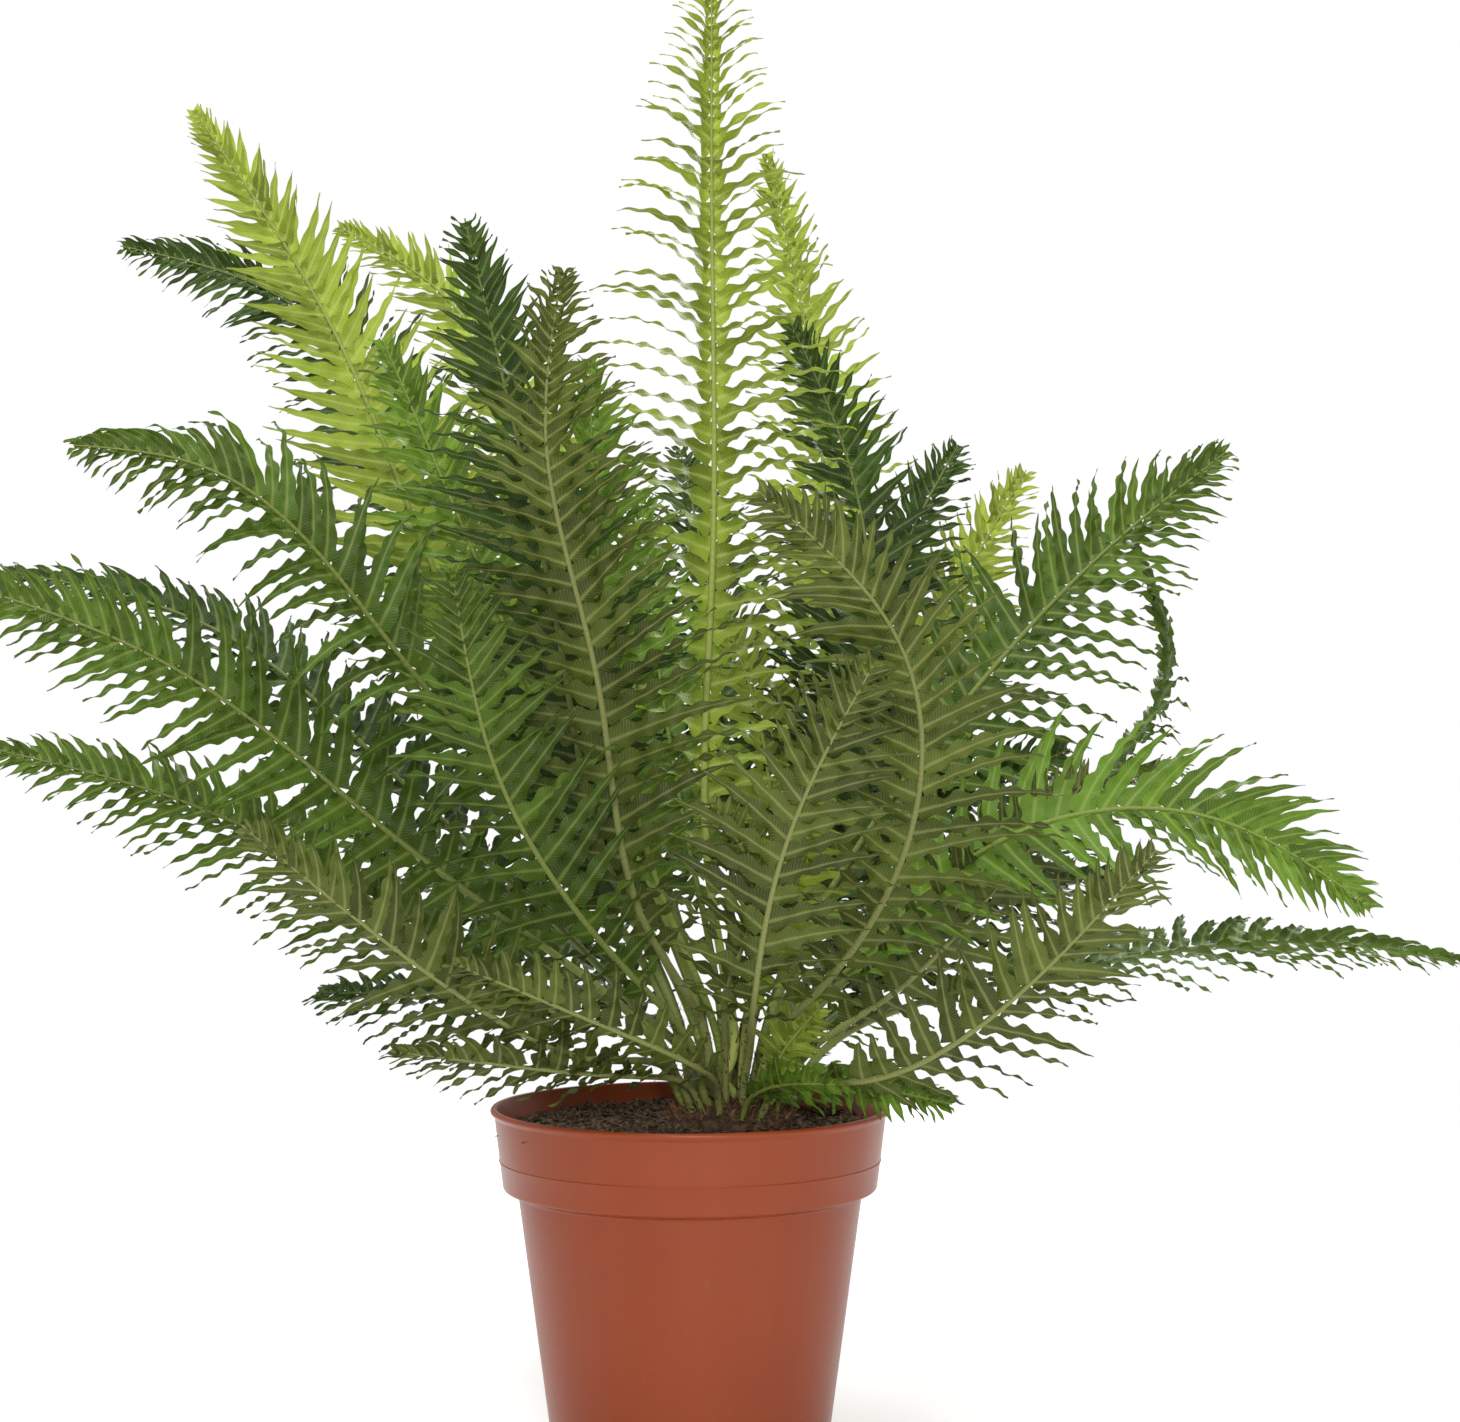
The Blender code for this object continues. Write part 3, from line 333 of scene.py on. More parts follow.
def soften(moves):
    """Spread a sideways push over a few neighbouring points of the stalk."""
    kernel = np.exp(-0.5 * (np.arange(-9, 10) / 2.5) ** 2)
    kernel /= kernel.max()
    padded = np.pad(moves, ((9, 9), (0, 0)))
    wide = np.stack([np.convolve(padded[:, k], kernel, mode="valid") for k in range(3)], axis=1)
    size = np.linalg.norm(wide, axis=1).max()
    largest = np.linalg.norm(moves, axis=1).max()
    return wide * (largest / size) if size > largest > 0 else wide


def frames(line, face):
    """Tangent, side and upper-face direction at every point, without needless twist."""
    tangent = np.gradient(line, axis=0)
    tangent /= np.linalg.norm(tangent, axis=1)[:, None]
    compass, height = math.radians(face[0]), math.radians(face[1])
    level = math.cos(height)
    wanted = np.array((math.cos(compass) * level, math.sin(compass) * level, math.sin(height)))
    upper = np.zeros_like(line)
    middle = int(0.6 * len(line))
    upper[middle] = unit(wanted - wanted.dot(tangent[middle]) * tangent[middle])
    for i in range(middle + 1, len(line)):
        upper[i] = unit(upper[i - 1] - upper[i - 1].dot(tangent[i]) * tangent[i])
    for i in range(middle - 1, -1, -1):
        upper[i] = unit(upper[i + 1] - upper[i + 1].dot(tangent[i]) * tangent[i])
    return tangent, np.cross(tangent, upper), upper


def unit(vector):
    return vector / np.linalg.norm(vector)


# ------------------------------------------------------------ mesh helper
class Sheet:
    """Collects grids of points into one mesh with per-point values and a UV layout."""

    def __init__(self):
        self.points = []
        self.quads = []
        self.uvs = []
        self.values = {key: [] for key in ("across", "along", "tone", "reach")}
        self.count = 0

    def grid(self, points, across, along, tone, reach, uv, closed=False):
        """points: rows x columns x 3.  closed joins the last column to the first."""
        rows, columns = points.shape[:2]
        index = self.count + np.arange(rows * columns).reshape(rows, columns)
        right = np.roll(index, -1, axis=1)
        last = columns if closed else columns - 1
        low, high = index[:-1, :last], index[1:, :last]
        quads = np.stack([low, right[:-1, :last], right[1:, :last], high], axis=-1)
        self.points.append(points.reshape(-1, 3))
        self.quads.append(quads.reshape(-1, 4))
        self.uvs.append(uv.reshape(-1, 2))
        for key, value in zip(("across", "along", "tone", "reach"), (across, along, tone, reach)):
            self.values[key].append(np.broadcast_to(value, (rows, columns)).reshape(-1))
        self.count += rows * columns

    def finish(self, name, material, stands_for=None):
        """Make the object, on the part's body and with its material slot."""
        points = np.concatenate(self.points)
        quads = np.concatenate(self.quads)
        uvs = np.concatenate(self.uvs)
        mesh = bpy.data.meshes.new(name)
        mesh.vertices.add(len(points))
        mesh.vertices.foreach_set("co", points.astype(np.float32).ravel())
        mesh.loops.add(quads.size)
        mesh.loops.foreach_set("vertex_index", quads.astype(np.int32).ravel())
        mesh.polygons.add(len(quads))
        mesh.polygons.foreach_set("loop_start", np.arange(0, quads.size, 4, dtype=np.int32))
        mesh.polygons.foreach_set("use_smooth", np.ones(len(quads), dtype=bool))
        mesh.update(calc_edges=True)
        layer = mesh.uv_layers.new(name="OFBake")
        layer.data.foreach_set("uv", uvs[quads.ravel()].astype(np.float32).ravel())
        for key, parts in self.values.items():
            held = mesh.attributes.new(key, "FLOAT", "POINT")
            held.data.foreach_set("value", np.concatenate(parts).astype(np.float32))
        made = bpy.data.objects.new(name, mesh)
        bpy.context.scene.collection.objects.link(made)
        mesh.materials.append(material)
        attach(made, "root")
        if stands_for:
            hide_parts(stands_for)
        return made


# ------------------------------------------------------------ node helpers
class Nodes:
    """A material's node tree, with short calls for the few nodes used here."""

    def __init__(self, name):
        self.material = bpy.data.materials.new(name)
        self.material.use_nodes = True
        self.tree = self.material.node_tree
        self.shader = self.tree.nodes["Principled BSDF"]
        self.output = self.tree.nodes["Material Output"]

    def add(self, kind, **settings):
        made = self.tree.nodes.new(kind)
        for key, value in settings.items():
            setattr(made, key, value)
        return made

    def link(self, out, into):
        self.tree.links.new(out, into)

    def value(self, attribute):
        return self.add("ShaderNodeAttribute", attribute_name=attribute).outputs["Fac"]

    def noise(self, scale, detail=4.0, stretch=(1, 1, 1)):
        place = self.add("ShaderNodeTexCoord")
        mapping = self.add("ShaderNodeMapping")
        mapping.inputs["Scale"].default_value = stretch
        made = self.add("ShaderNodeTexNoise")
        made.inputs["Scale"].default_value = scale
        made.inputs["Detail"].default_value = detail
        self.link(place.outputs["Object"], mapping.inputs["Vector"])
        self.link(mapping.outputs["Vector"], made.inputs["Vector"])
        return made.outputs["Fac"]

    def math(self, operation, a, b=0.0):
        made = self.add("ShaderNodeMath", operation=operation)
        for socket, given in zip(made.inputs, (a, b)):
            if isinstance(given, (int, float)):
                socket.default_value = given
            else:
                self.link(given, socket)
        return made.outputs["Value"]

    def blend(self, factor, first, second, mode="MIX"):
        made = self.add("ShaderNodeMix", data_type="RGBA", blend_type=mode)
        for socket, given in zip((made.inputs[0], made.inputs[6], made.inputs[7]), (factor, first, second)):
            if isinstance(given, (int, float)):
                socket.default_value = given
            elif isinstance(given, tuple):
                socket.default_value = (*given, 1.0)
            else:
                self.link(given, socket)
        return made.outputs[2]

    def ramp(self, factor, low, high):
        """0 below low, 1 above high."""
        made = self.add("ShaderNodeMapRange")
        made.inputs["From Min"].default_value = low
        made.inputs["From Max"].default_value = high
        self.link(factor, made.inputs["Value"])
        return made.outputs["Result"]

    def bump(self, height, distance, strength=1.0):
        made = self.add("ShaderNodeBump")
        made.inputs["Distance"].default_value = distance
        made.inputs["Strength"].default_value = strength
        self.link(height, made.inputs["Height"])
        return made.outputs["Normal"]


# ------------------------------------------------------------ materials
def leaf_material(age):
    """Mottled leaf with dark specks of painted shadow, paler midrib, fine slanted veins, worn edges and
    light shining through.
    """
    blade, fresh, midrib, glow = LEAVES[age]
    n = Nodes(f"leaf_{age}")
    across = n.math("ABSOLUTE", n.value("across"))
    along, tone, reach = n.value("along"), n.value("tone"), n.value("reach")
    mottle = n.noise(160.0)
    patch = n.ramp(n.noise(22.0, 2.0), 0.35, 0.7)
    colour = n.blend(n.math("MULTIPLY", patch, 0.45), blade, fresh)
    colour = n.blend(n.math("MULTIPLY", n.ramp(reach, 0.35, 1.0), 0.55), colour, fresh)
    # dark specks of painted shadow, laid at random where the mottle noise is high
    painted_shadow_colour = tuple(0.6 * c for c in blade)
    colour = n.blend(n.math("MULTIPLY", n.ramp(mottle, 0.3, 0.75), 0.25), colour, painted_shadow_colour)
    shade = n.math("ADD", 0.55, n.math("MULTIPLY", tone, 0.8))
    grey = n.add("ShaderNodeCombineColor")
    for socket in grey.inputs:
        n.link(shade, socket)
    colour = n.blend(1.0, colour, grey.outputs["Color"], "MULTIPLY")
    slanted = n.math("SUBTRACT", along, n.math("MULTIPLY", across, VEIN_SLANT))
    veins = n.math("SINE", n.math("MULTIPLY", slanted, VEIN_DENSITY))
    vein_mask = n.math("MULTIPLY", n.ramp(veins, 0.35, 1.0), 0.16)
    colour = n.blend(vein_mask, colour, midrib)
    rib = n.math("SUBTRACT", 1.0, n.ramp(across, 0.05, 0.22))
    colour = n.blend(n.math("MULTIPLY", rib, 0.50), colour, midrib)
    stalk = n.ramp(across, 1.5, 1.9)
    colour = n.blend(n.math("MULTIPLY", stalk, 0.80), colour, midrib)
    edge = n.math("SUBTRACT", n.ramp(across, 0.86, 1.0), stalk)
    worn = n.math("MULTIPLY", edge, n.ramp(n.noise(70.0), 0.52, 0.7))
    colour = n.blend(n.math("MULTIPLY", worn, 0.45), colour, WORN_EDGE)
    normal = n.bump(n.math("ADD", n.math("MULTIPLY", veins, 0.5), mottle), 0.25 * MM, 0.55)
    n.link(colour, n.shader.inputs["Base Color"])
    n.link(normal, n.shader.inputs["Normal"])
    rough = n.math("ADD", 0.36, n.math("MULTIPLY", mottle, 0.2))
    n.link(rough, n.shader.inputs["Roughness"])
    n.shader.inputs["Specular IOR Level"].default_value = 0.24
    through = n.add("ShaderNodeBsdfTranslucent")
    n.link(n.blend(0.5, colour, fresh), through.inputs["Color"])
    n.link(normal, through.inputs["Normal"])
    both = n.add("ShaderNodeMixShader")
    both.inputs["Fac"].default_value = glow
    n.link(n.shader.outputs["BSDF"], both.inputs[1])
    n.link(through.outputs["BSDF"], both.inputs[2])
    n.link(both.outputs["Shader"], n.output.inputs["Surface"])
    return n.material


def pot_material():
    """Matt moulded plastic with faint upright streaks and specks of dust."""
    n = Nodes("moulded_terracotta_plastic")
    streak = n.ramp(n.noise(30.0, 3.0, (1, 1, 0.12)), 0.35, 0.7)
    cloud = n.ramp(n.noise(9.0, 3.0), 0.3, 0.75)
    colour = n.blend(n.math("MULTIPLY", cloud, 0.5), POT_COLOUR, POT_DARK)
    colour = n.blend(n.math("MULTIPLY", streak, 0.18), colour, POT_STREAK)
    dust = n.math("MULTIPLY", n.ramp(n.noise(420.0, 2.0), 0.66, 0.74), 0.25)
    colour = n.blend(dust, colour, POT_DUST)
    fine = n.noise(900.0, 3.0)
    n.link(colour, n.shader.inputs["Base Color"])
    n.link(n.bump(fine, 0.06 * MM, 0.5), n.shader.inputs["Normal"])
    n.link(n.math("ADD", 0.30, n.math("MULTIPLY", streak, 0.10)), n.shader.inputs["Roughness"])
    n.shader.inputs["Specular IOR Level"].default_value = 0.30
    return n.material


def earthy_material(name, dark, light, scale):
    """Rough, grainy brown."""
    n = Nodes(name)
    grain = n.noise(scale, 8.0)
    colour = n.blend(n.ramp(grain, 0.42, 0.72), dark, light)
    n.link(colour, n.shader.inputs["Base Color"])
    n.link(n.bump(grain, 1.2 * MM, 0.9), n.shader.inputs["Normal"])
    n.shader.inputs["Roughness"].default_value = 0.92
    n.shader.inputs["Specular IOR Level"].default_value = 0.2
    return n.material


# ------------------------------------------------------------ fronds
def stations(name, line):
    """Pinna positions along the stalk as parts of its length, close together at the tip."""
    _, longest, bare, _, _ = FRONDS[name]
    length = SAMPLE * (len(line) - 1)
    first = min(PINNA_PITCH, longest * 0.36 * CM)
    place = length * bare
    found = []
    while place < length - 2 * MM:
        found.append(place / length)
        part = (place / length - bare) / (1 - bare)
        place += first * (1 - PITCH_TAPER * part ** 1.6)
    return found


def pinna_size(longest, part):
    """Length and half width of a pinna at a part (0 lowest, 1 tip) of the leafy blade."""
    rising = min(1.0, 0.24 + 2.4 * part)
    falling = (1 - part ** 2.1) ** 0.8
    length = PINNA_REACH * longest * CM * rising * falling + 5 * MM
    broad = PINNA_HALF_WIDTH * (0.55 + 0.45 * min(1.0, longest / 5.5))
    return length, broad * (0.42 + 0.58 * falling)


def lookup(values, part):
    """Value at a part (0 first, 1 last) of the way through a list of rows."""
    place = part * (len(values) - 1)
    low = min(int(place), len(values) - 2)
    return values[low] + (values[low + 1] - values[low]) * (place - low)


def add_pinna(sheet, root, tangent, side, upper, part, size, habit, row_uv, chance):
    """One rippled ribbon from the stalk outwards, its tip swept forward and hanging."""
    turn, hang, ripple = habit
    length, half = size
    splay = math.radians(SPLAY - SPLAY_TAPER * part ** 2 + chance.uniform(-8, 8))
    rise = math.radians(RISE + chance.uniform(-9, 9))
    out = math.sin(splay) * (math.cos(rise) * side + math.sin(rise) * upper) + math.cos(splay) * tangent
    waves = max(1.2, length / WAVE)
    rows = max(7, int(waves * ROWS_PER_WAVE))
    v = np.linspace(0, 1, rows + 1)
    down = np.array((0.0, 0.0, -1.0))
    sweep = chance.uniform(0.25, 0.5)
    bend = chance.uniform(-0.12, 0.12)
    heading = (out[None] + v[:, None] * sweep * tangent + (v ** 1.6)[:, None] * hang * 1.7 * down
               + (v * bend)[:, None] * upper)
    heading /= np.linalg.norm(heading, axis=1)[:, None]
    walked = np.cumsum((heading[1:] + heading[:-1]) / 2, axis=0)
    spine = root + np.concatenate([np.zeros((1, 3)), walked]) * length / rows
    lean = np.radians(turn + chance.uniform(-14, 14))
    twist = chance.uniform(-0.7, 0.7)
    tilt = lean * np.clip(v * 5, 0, 1) + twist * v
    wide = np.cos(tilt)[:, None] * tangent - np.sin(tilt)[:, None] * upper
    wide -= (wide * heading).sum(axis=1)[:, None] * heading
    wide /= np.linalg.norm(wide, axis=1)[:, None]
    lift = np.cross(heading, wide)
    lift *= np.sign((lift @ (upper + 0.3 * tangent)).mean() or 1.0)
    outline = (1 - v ** 1.7) ** 1.05 * (0.9 + 0.1 * np.cos(v * 3)) + 0.28 * np.exp(-(v * 9) ** 2)
    outline[-1] = 0.02
    points = np.zeros((rows + 1, len(ACROSS), 3))
    phase = (chance.uniform(0, 6.28), chance.uniform(0, 6.28))
    for c, u in enumerate(ACROSS):
        beat = 2 * math.pi * v * waves * (1 + 0.06 * math.sin(5 * part)) + phase[u > 0]
        swing = ripple * RIPPLE_HEIGHT * half * np.sin(beat) * abs(u) ** 1.6
        swing = swing * np.clip(v * 6, 0, 1) * (1 - 0.45 * v)
        scallop = 1 + SCALLOP * np.sin(beat + 0.9) * abs(u)
        fold = FOLD * half * (abs(u) - 0.5)
        points[:, c] = (spine + (u * half * outline * scallop)[:, None] * wide
                        + (swing + fold * outline)[:, None] * lift)
    across = np.array(ACROSS)[None]
    row_start, row_height = row_uv
    uv_across = row_start + row_height * (0.5 + 0.42 * across)
    uv = np.stack(np.broadcast_arrays(0.02 + 0.96 * v[:, None], uv_across), axis=-1)
    sheet.grid(points, across, (v * length)[:, None], chance.uniform(0, 1), part, uv)


def add_stalk(sheet, name, line, side, upper):
    """Round stalk and midrib, tapering to the tip."""
    angles = np.arange(STALK_SIDES) * 2 * math.pi / STALK_SIDES
    radius = np.array([stalk_radius(name, p) for p in np.linspace(0, 1, len(line))])
    ring = np.cos(angles)[None, :, None] * side[:, None] + np.sin(angles)[None, :, None] * upper[:, None]
    points = line[:, None] + radius[:, None, None] * ring
    part = np.linspace(0, 1, len(line))[:, None]
    uv_around = 0.004 + 0.02 * np.arange(STALK_SIDES)[None] / STALK_SIDES
    uv = np.stack(np.broadcast_arrays(0.02 + 0.96 * part, uv_around), axis=-1)
    sheet.grid(points, STALK_MARK, part * 0.2, 0.62, 0.35, uv, closed=True)


def build_frond(name, line, seed, finishes):
    """One frond: its stalk, and a pair of pinnae at every station."""
    age, longest, bare, face, _ = FRONDS[name]
    chance = np.random.default_rng(seed)
    line = resample(line, SAMPLE)
    tangent, side, upper = frames(line, face)
    habit = HABITS.get(name, HABITS["usual"])
    sheet = Sheet()
    add_stalk(sheet, name, line, side, upper)
    places = stations(name, line)
    step = 0.96 / (2 * len(places))
    for k, place in enumerate(places):
        part = (place - bare) / (1 - bare)
        for h, hand in enumerate((1, -1)):
            shifted = min(0.999, place + 0.4 * h * (places[1] - places[0]) * (1 - part))
            t, s, n = (unit(lookup(values, shifted)) for values in (tangent, side, upper))
            root = lookup(line, shifted) + hand * s * stalk_radius(name, shifted) * 0.6
            length, half = pinna_size(longest, part)
            length *= chance.uniform(0.86, 1.1)
            row = (0.03 + step * (2 * k + h), step)
            add_pinna(sheet, root, t, hand * s, n, part, (length, half), habit, row, chance)
    sheet.finish(f"blade_{name}", finishes[LOOKS.get(name, age)], f"frond_{name}")


def build_fronds():
    """Build every frond, and give back the lines of their stalks."""
    finishes = {age: leaf_material(age) for age in LEAVES}
    lines = stalk_lines()
    for seed, (name, line) in enumerate(zip(FRONDS, lines)):
        build_frond(name, line, 100 + seed, finishes)
    return lines


# ------------------------------------------------------------ pot
def pot_outline():
    """Outer and inner outline from the middle of the underside round to the middle of the floor."""
    lip = POT_TOP - COLLAR_DEPTH
    body_top = lip - STEP
    line = POT_TOP - MOULD_LINE_DEPTH
    under = [
        (0.0, 0.0),
        (PAD_RADIUS, 0.0),
        (PAD_RADIUS + CHANNEL_SLOPE, CHANNEL_LIFT),
        (CHANNEL_RADIUS, CHANNEL_LIFT),
        (CHANNEL_RADIUS + CHANNEL_SLOPE, 0.0),
        (BODY_FOOT_RADIUS - FOOT_ROUNDING, 0.0),
    ]

    def collar(height):
        share = (height - lip) / (POT_TOP - lip)
        return COLLAR_FOOT_RADIUS + (COLLAR_TOP_RADIUS - COLLAR_FOOT_RADIUS) * share

    foot = arc(BODY_FOOT_RADIUS - FOOT_ROUNDING, FOOT_ROUNDING, FOOT_ROUNDING, -90, 0, 5)
    shoulder = [(BODY_TOP_RADIUS, body_top)]
    shoulder += arc(BODY_TOP_RADIUS + 2.2 * MM, body_top + 0.6 * MM, 2.2 * MM, 180, 100, 5)
    shoulder += arc(COLLAR_FOOT_RADIUS - 2.0 * MM, lip + 1.0 * MM, 2.0 * MM, -80, 0, 6)
    groove = 0.35 * MM
    collar_line = [(collar(line - 0.5 * MM), line - 0.5 * MM), (collar(line) + groove, line),
                   (collar(line + 0.5 * MM), line + 0.5 * MM)]
    bead_middle = RIM_RADIUS - BEAD / 2
    bead = [(collar(POT_TOP - BEAD - 1.2 * MM), POT_TOP - BEAD - 1.2 * MM)]
    bead += arc(bead_middle, POT_TOP - BEAD / 2, BEAD / 2, -50, 90, 9)
    inside = [
        (COLLAR_TOP_RADIUS - WALL + 0.5 * MM, POT_TOP - 0.2 * MM),
        (COLLAR_TOP_RADIUS - WALL, POT_TOP - 1.0 * MM),
        (COLLAR_FOOT_RADIUS - WALL, lip + 1.5 * MM),
        (BODY_TOP_RADIUS - WALL, body_top + 1.0 * MM),
        (BODY_FOOT_RADIUS - WALL, WALL),
    ]
    floor = [(r, z + WALL) for r, z in under[-2::-1]]
    return under + foot + shoulder + collar_line + bead + inside + floor


def arc(x, z, radius, start, end, count):
    """Points of an arc round x, z between two angles in degrees."""
    angles = [math.radians(start + (end - start) * k / (count - 1)) for k in range(count)]
    return [(x + radius * math.cos(a), z + radius * math.sin(a)) for a in angles]


def build_pot():
    """Turn the outline round the pot's axis."""
    outline = np.array(pot_outline())
    outline[:, 0] = np.maximum(outline[:, 0], 0.02 * MM)
    angles = np.arange(POT_SIDES) * 2 * math.pi / POT_SIDES
    ring = np.stack([np.cos(angles), np.sin(angles)], axis=-1)
    points = np.zeros((len(outline), POT_SIDES, 3))
    points[:, :, :2] = outline[:, None, :1] * ring[None]
    points[:, :, 2] = outline[:, None, 1]
    rows = np.linspace(0.01, 0.99, len(outline))[:, None]
    uv = np.stack(np.broadcast_arrays(angles[None] / (2 * math.pi), rows), axis=-1)
    sheet = Sheet()
    sheet.grid(points, 0.0, 0.0, 0.5, 0.0, uv, closed=True)
    pot = sheet.finish("pot_shell", pot_material(), "pot")
    pot.data.set_sharp_from_angle(angle=math.radians(32))


# ------------------------------------------------------------ potting mix and crown
def in_the_pot(chance):
    """A random place on the mix, clear of the wall."""
    radius = (COLLAR_FOOT_RADIUS - 5 * MM) * math.sqrt(chance.uniform(0, 1))
    a = chance.uniform(0, 2 * math.pi)
    return np.array((radius * math.cos(a), radius * math.sin(a)))


def build_crumbs():
    """Loose crumbs and fibres of peat and bark on the mix."""
    chance = np.random.default_rng(7)
    sheet = Sheet()
    for k in range(CRUMBS):
        x, y = in_the_pot(chance)
        size = chance.uniform(0.8, 2.9) * MM
        if chance.uniform(0, 1) < FIBRE_SHARE:
            stretch = np.array((size * chance.uniform(3, 6), size * 0.28, size * 0.28))
        else:
            stretch = size * chance.uniform(0.5, 1.1, 3)
        turn = chance.uniform(0, 2 * math.pi)
        dip = chance.uniform(-0.4, 0.4)
        axis_x = np.array((math.cos(turn) * math.cos(dip), math.sin(turn) * math.cos(dip), math.sin(dip)))
        axis_y = np.array((-math.sin(turn), math.cos(turn), 0.0))
        axis_z = np.cross(axis_x, axis_y)
        heights = np.array((-0.98, -0.45, 0.25, 0.98))
        girth = np.sqrt(1 - heights ** 2)
        angles = np.arange(6) * math.pi / 3
        jag = chance.uniform(0.75, 1.2, (4, 6))
        local = (heights[:, None, None] * stretch[0] * axis_x
                 + (girth[:, None] * jag * np.cos(angles))[..., None] * stretch[1] * axis_y
                 + (girth[:, None] * jag * np.sin(angles))[..., None] * stretch[2] * axis_z)
        centre = np.array((x, y, SOIL_LEVEL - 0.6 * MM + SOIL_SWELL * 0.5 + chance.uniform(0, 1.6) * MM))
        uv_along = (k % CRUMB_TILES + np.linspace(0.1, 0.9, 4)[:, None]) / CRUMB_TILES
        uv_around = (k // CRUMB_TILES + np.linspace(0.1, 0.9, 6)[None]) / CRUMB_TILES
        uv = np.stack(np.broadcast_arrays(uv_along, uv_around), axis=-1)
        sheet.grid(centre + local, 0.0, 0.0, chance.uniform(0, 1), 0.0, uv, closed=True)
    crumb_material = earthy_material("peat_crumbs", PEAT, CRUMB_LIGHT, 500.0)
    sheet.finish("mix_crumbs", crumb_material)


def build_scales(lines):
    """Dry brown scales that stand on the crown and on the feet of the stalks."""
    chance = np.random.default_rng(11)
    sheet = Sheet()
    count = 0

    def scale(root, out, wide, length, half):
        """One bowed, pointed scale from its root outwards."""
        nonlocal count
        v = np.linspace(0, 1, 4)
        bow = np.array((0, 0, 1.0)) * (v ** 2)[:, None] * length * chance.uniform(-0.3, 0.3)
        spine = root + out * (v * length)[:, None] + bow
        edge = (half * (1 - v ** 1.5))[:, None] * wide
        points = np.stack([spine - edge, spine + edge + 0.02 * MM * wide], axis=1)
        u = (count % 50 + np.array((0.1, 0.9))[None]) / 50
        w = (count // 50 + 0.1 + 0.8 * v[:, None]) / 60
        sheet.grid(points, 0.0, 0.0, chance.uniform(0, 1), 0.0, np.stack(np.broadcast_arrays(u, w), axis=-1))
        count += 1

    for _ in range(CROWN_SCALES):
        a = chance.uniform(0, 2 * math.pi)
        r = CROWN_RADIUS * math.sqrt(chance.uniform(0.05, 0.97))
        point, normal = dome(CROWN_CENTRE[0] + r * math.cos(a), CROWN_CENTRE[1] + r * math.sin(a))
        out = unit(normal + chance.uniform(-0.7, 0.7, 3))
        wide = unit(np.cross(out, chance.uniform(-1, 1, 3)))
        scale(point, out, wide, chance.uniform(3, 8) * MM, chance.uniform(0.3, 0.8) * MM)
    for name, line in zip(FRONDS, lines):
        for _ in range(STALK_SCALES):
            place = chance.uniform(0, 1) ** 2 * 9
            low = int(place)
            point = line[low] + (line[low + 1] - line[low]) * (place - low)
            along = unit(line[low + 1] - line[low])
            away = unit(np.cross(along, chance.uniform(-1, 1, 3)))
            root = point + away * stalk_radius(name, 0.05) * 0.95
            scale(root, unit(along + away * chance.uniform(0.2, 1.1)), unit(np.cross(along, away)),
                  chance.uniform(2, 5) * MM, chance.uniform(0.25, 0.55) * MM)
    scale_material = earthy_material("scale_brown", SCALE_BROWN, SCALE_LIGHT, 300.0)
    sheet.finish("brown_scales", scale_material)


def dress_cad_nodes():
    """Materials for the two CAD pieces that show as they are."""
    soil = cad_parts["soil"]
    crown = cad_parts["crown"]
    soil.data.materials.clear()
    soil.data.materials.append(earthy_material("peat_mix", PEAT, PEAT_LIGHT, 320.0))
    crown.data.materials.clear()
    crown.data.materials.append(earthy_material("crown_skin", CROWN_DARK, CROWN_LIGHT, 240.0))


# ------------------------------------------------------------ studio
def plain_material(name, colour):
    n = Nodes(name)
    n.shader.inputs["Base Color"].default_value = (*colour, 1.0)
    n.shader.inputs["Roughness"].default_value = 0.9
    n.shader.inputs["Specular IOR Level"].default_value = 0.1
    return n.material


def build_floor():
    bpy.ops.mesh.primitive_circle_add(vertices=128, radius=1.3, fill_type="NGON", location=(0, 0, -0.0005))
    floor = bpy.context.active_object
    floor.name = "floor"
    floor.data.materials.append(plain_material("pale_floor", FLOOR_COLOUR))


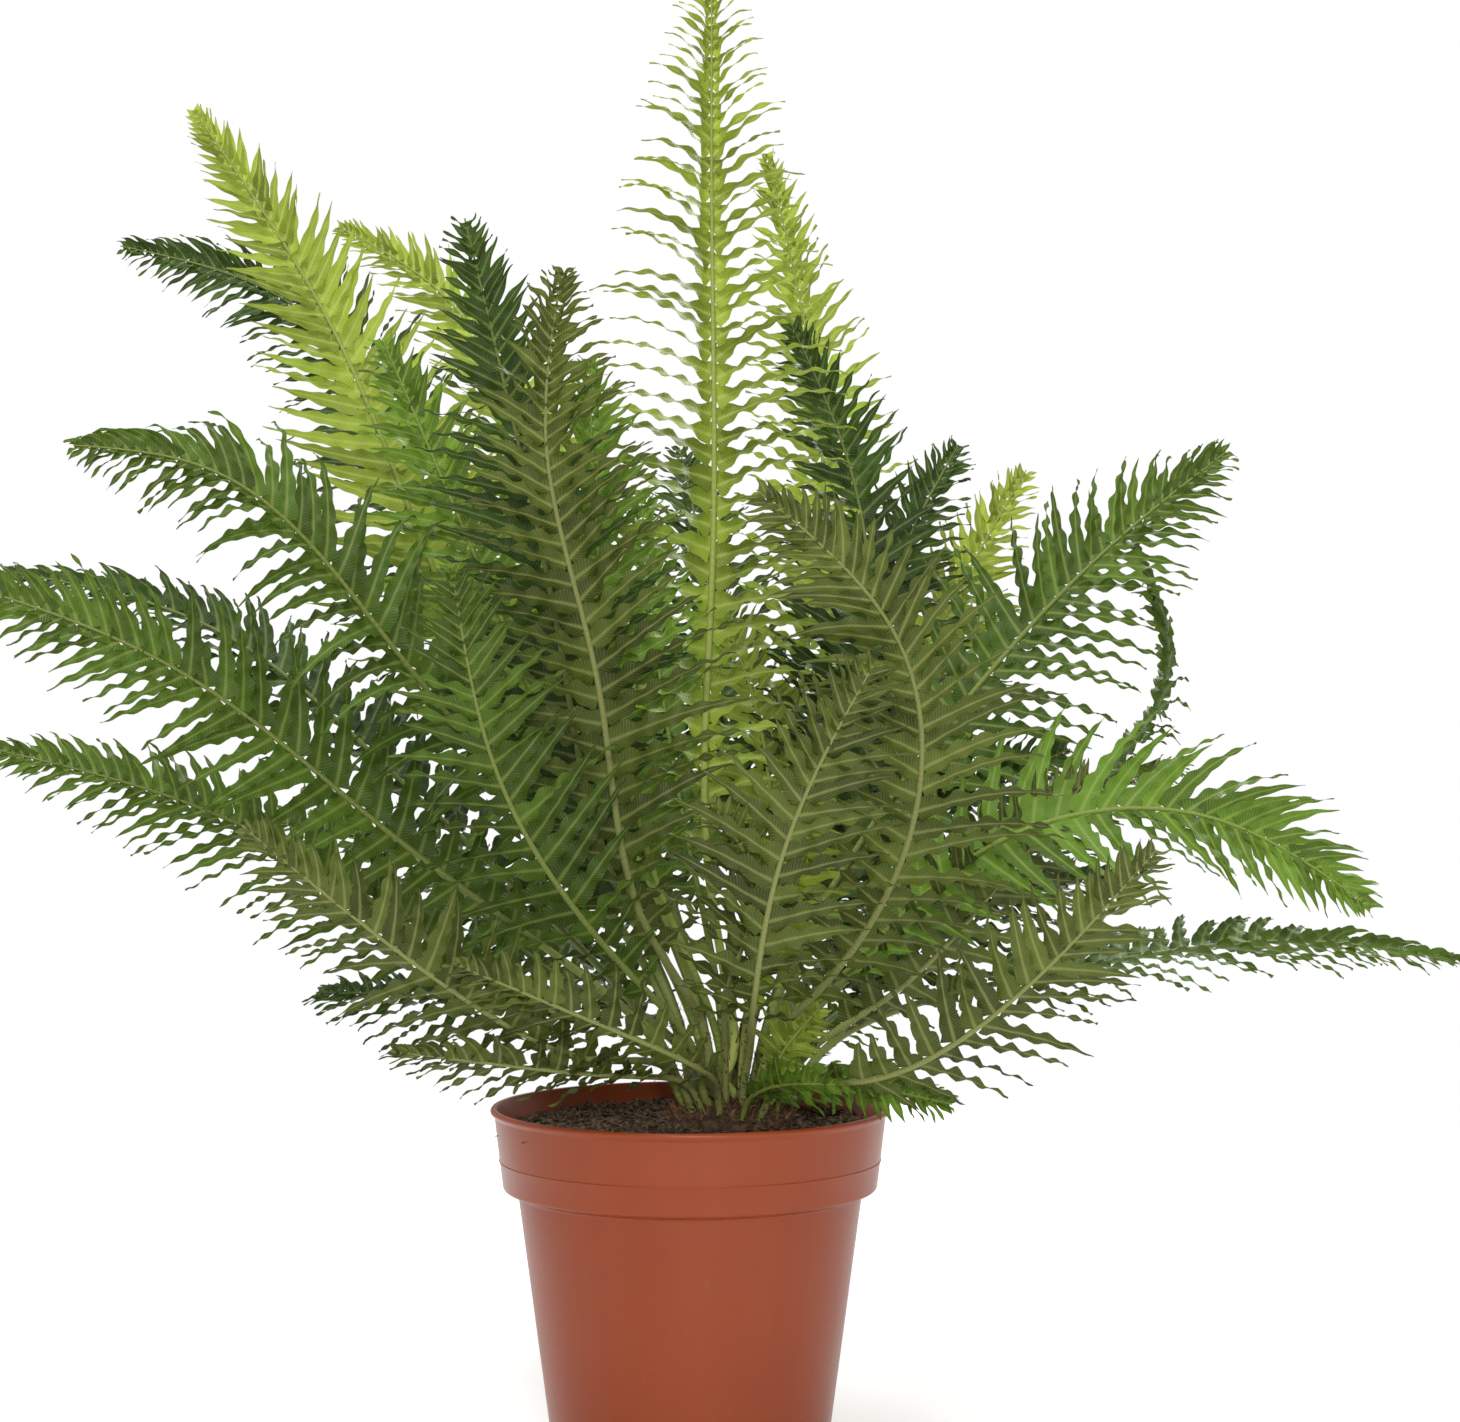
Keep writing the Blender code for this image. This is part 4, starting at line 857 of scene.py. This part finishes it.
def area_light(name, place, target, size, power):
    """Round lamp, size metres across and power watts strong, aimed at the target."""
    light = bpy.data.lights.new(name, "AREA")
    light.shape = "DISK"
    light.size = size
    light.energy = power
    lamp = bpy.data.objects.new(name, light)
    bpy.context.scene.collection.objects.link(lamp)
    lamp.location = place
    lamp.rotation_euler = (Vector(target) - Vector(place)).to_track_quat("-Z", "Y").to_euler()


def build_world():
    """White behind the plant, and dimmer where it lights the plant."""
    world = bpy.data.worlds.new("studio")
    bpy.context.scene.world = world
    world.use_nodes = True
    tree = world.node_tree
    dim = tree.nodes["Background"]
    dim.inputs["Color"].default_value = (1.0, 1.0, 1.0, 1.0)
    dim.inputs["Strength"].default_value = 0.55
    bright = tree.nodes.new("ShaderNodeBackground")
    bright.inputs["Color"].default_value = (1.0, 1.0, 1.0, 1.0)
    bright.inputs["Strength"].default_value = 1.0
    path = tree.nodes.new("ShaderNodeLightPath")
    choose = tree.nodes.new("ShaderNodeMixShader")
    tree.links.new(path.outputs["Is Camera Ray"], choose.inputs["Fac"])
    tree.links.new(dim.outputs["Background"], choose.inputs[1])
    tree.links.new(bright.outputs["Background"], choose.inputs[2])
    tree.links.new(choose.outputs["Shader"], tree.nodes["World Output"].inputs["Surface"])


def build_camera():
    """Level camera in front of the plant, a little below its middle height."""
    lens = bpy.data.cameras.new("camera")
    lens.sensor_width = 36.0
    lens.lens = CAMERA_LENS
    lens.clip_start = 0.05
    camera = bpy.data.objects.new("camera", lens)
    bpy.context.scene.collection.objects.link(camera)
    camera.location = CAMERA_PLACE
    camera.rotation_euler = (math.radians(90), 0.0, 0.0)
    bpy.context.scene.camera = camera


def build_studio():
    build_floor()
    build_world()
    middle = (0.0, 0.0, 0.38)
    area_light("key", (0.1, -2.2, 0.7), middle, 0.35, 26)
    area_light("top", (-0.5, -0.5, 2.1), middle, 0.8, 26)
    area_light("back", (0.5, 1.3, 1.7), middle, 1.0, 34)
    build_camera()
    bpy.context.scene.view_settings.view_transform = "Standard"


def main():
    build_pot()
    lines = build_fronds()
    build_crumbs()
    build_scales(lines)
    dress_cad_nodes()
    build_studio()


main()
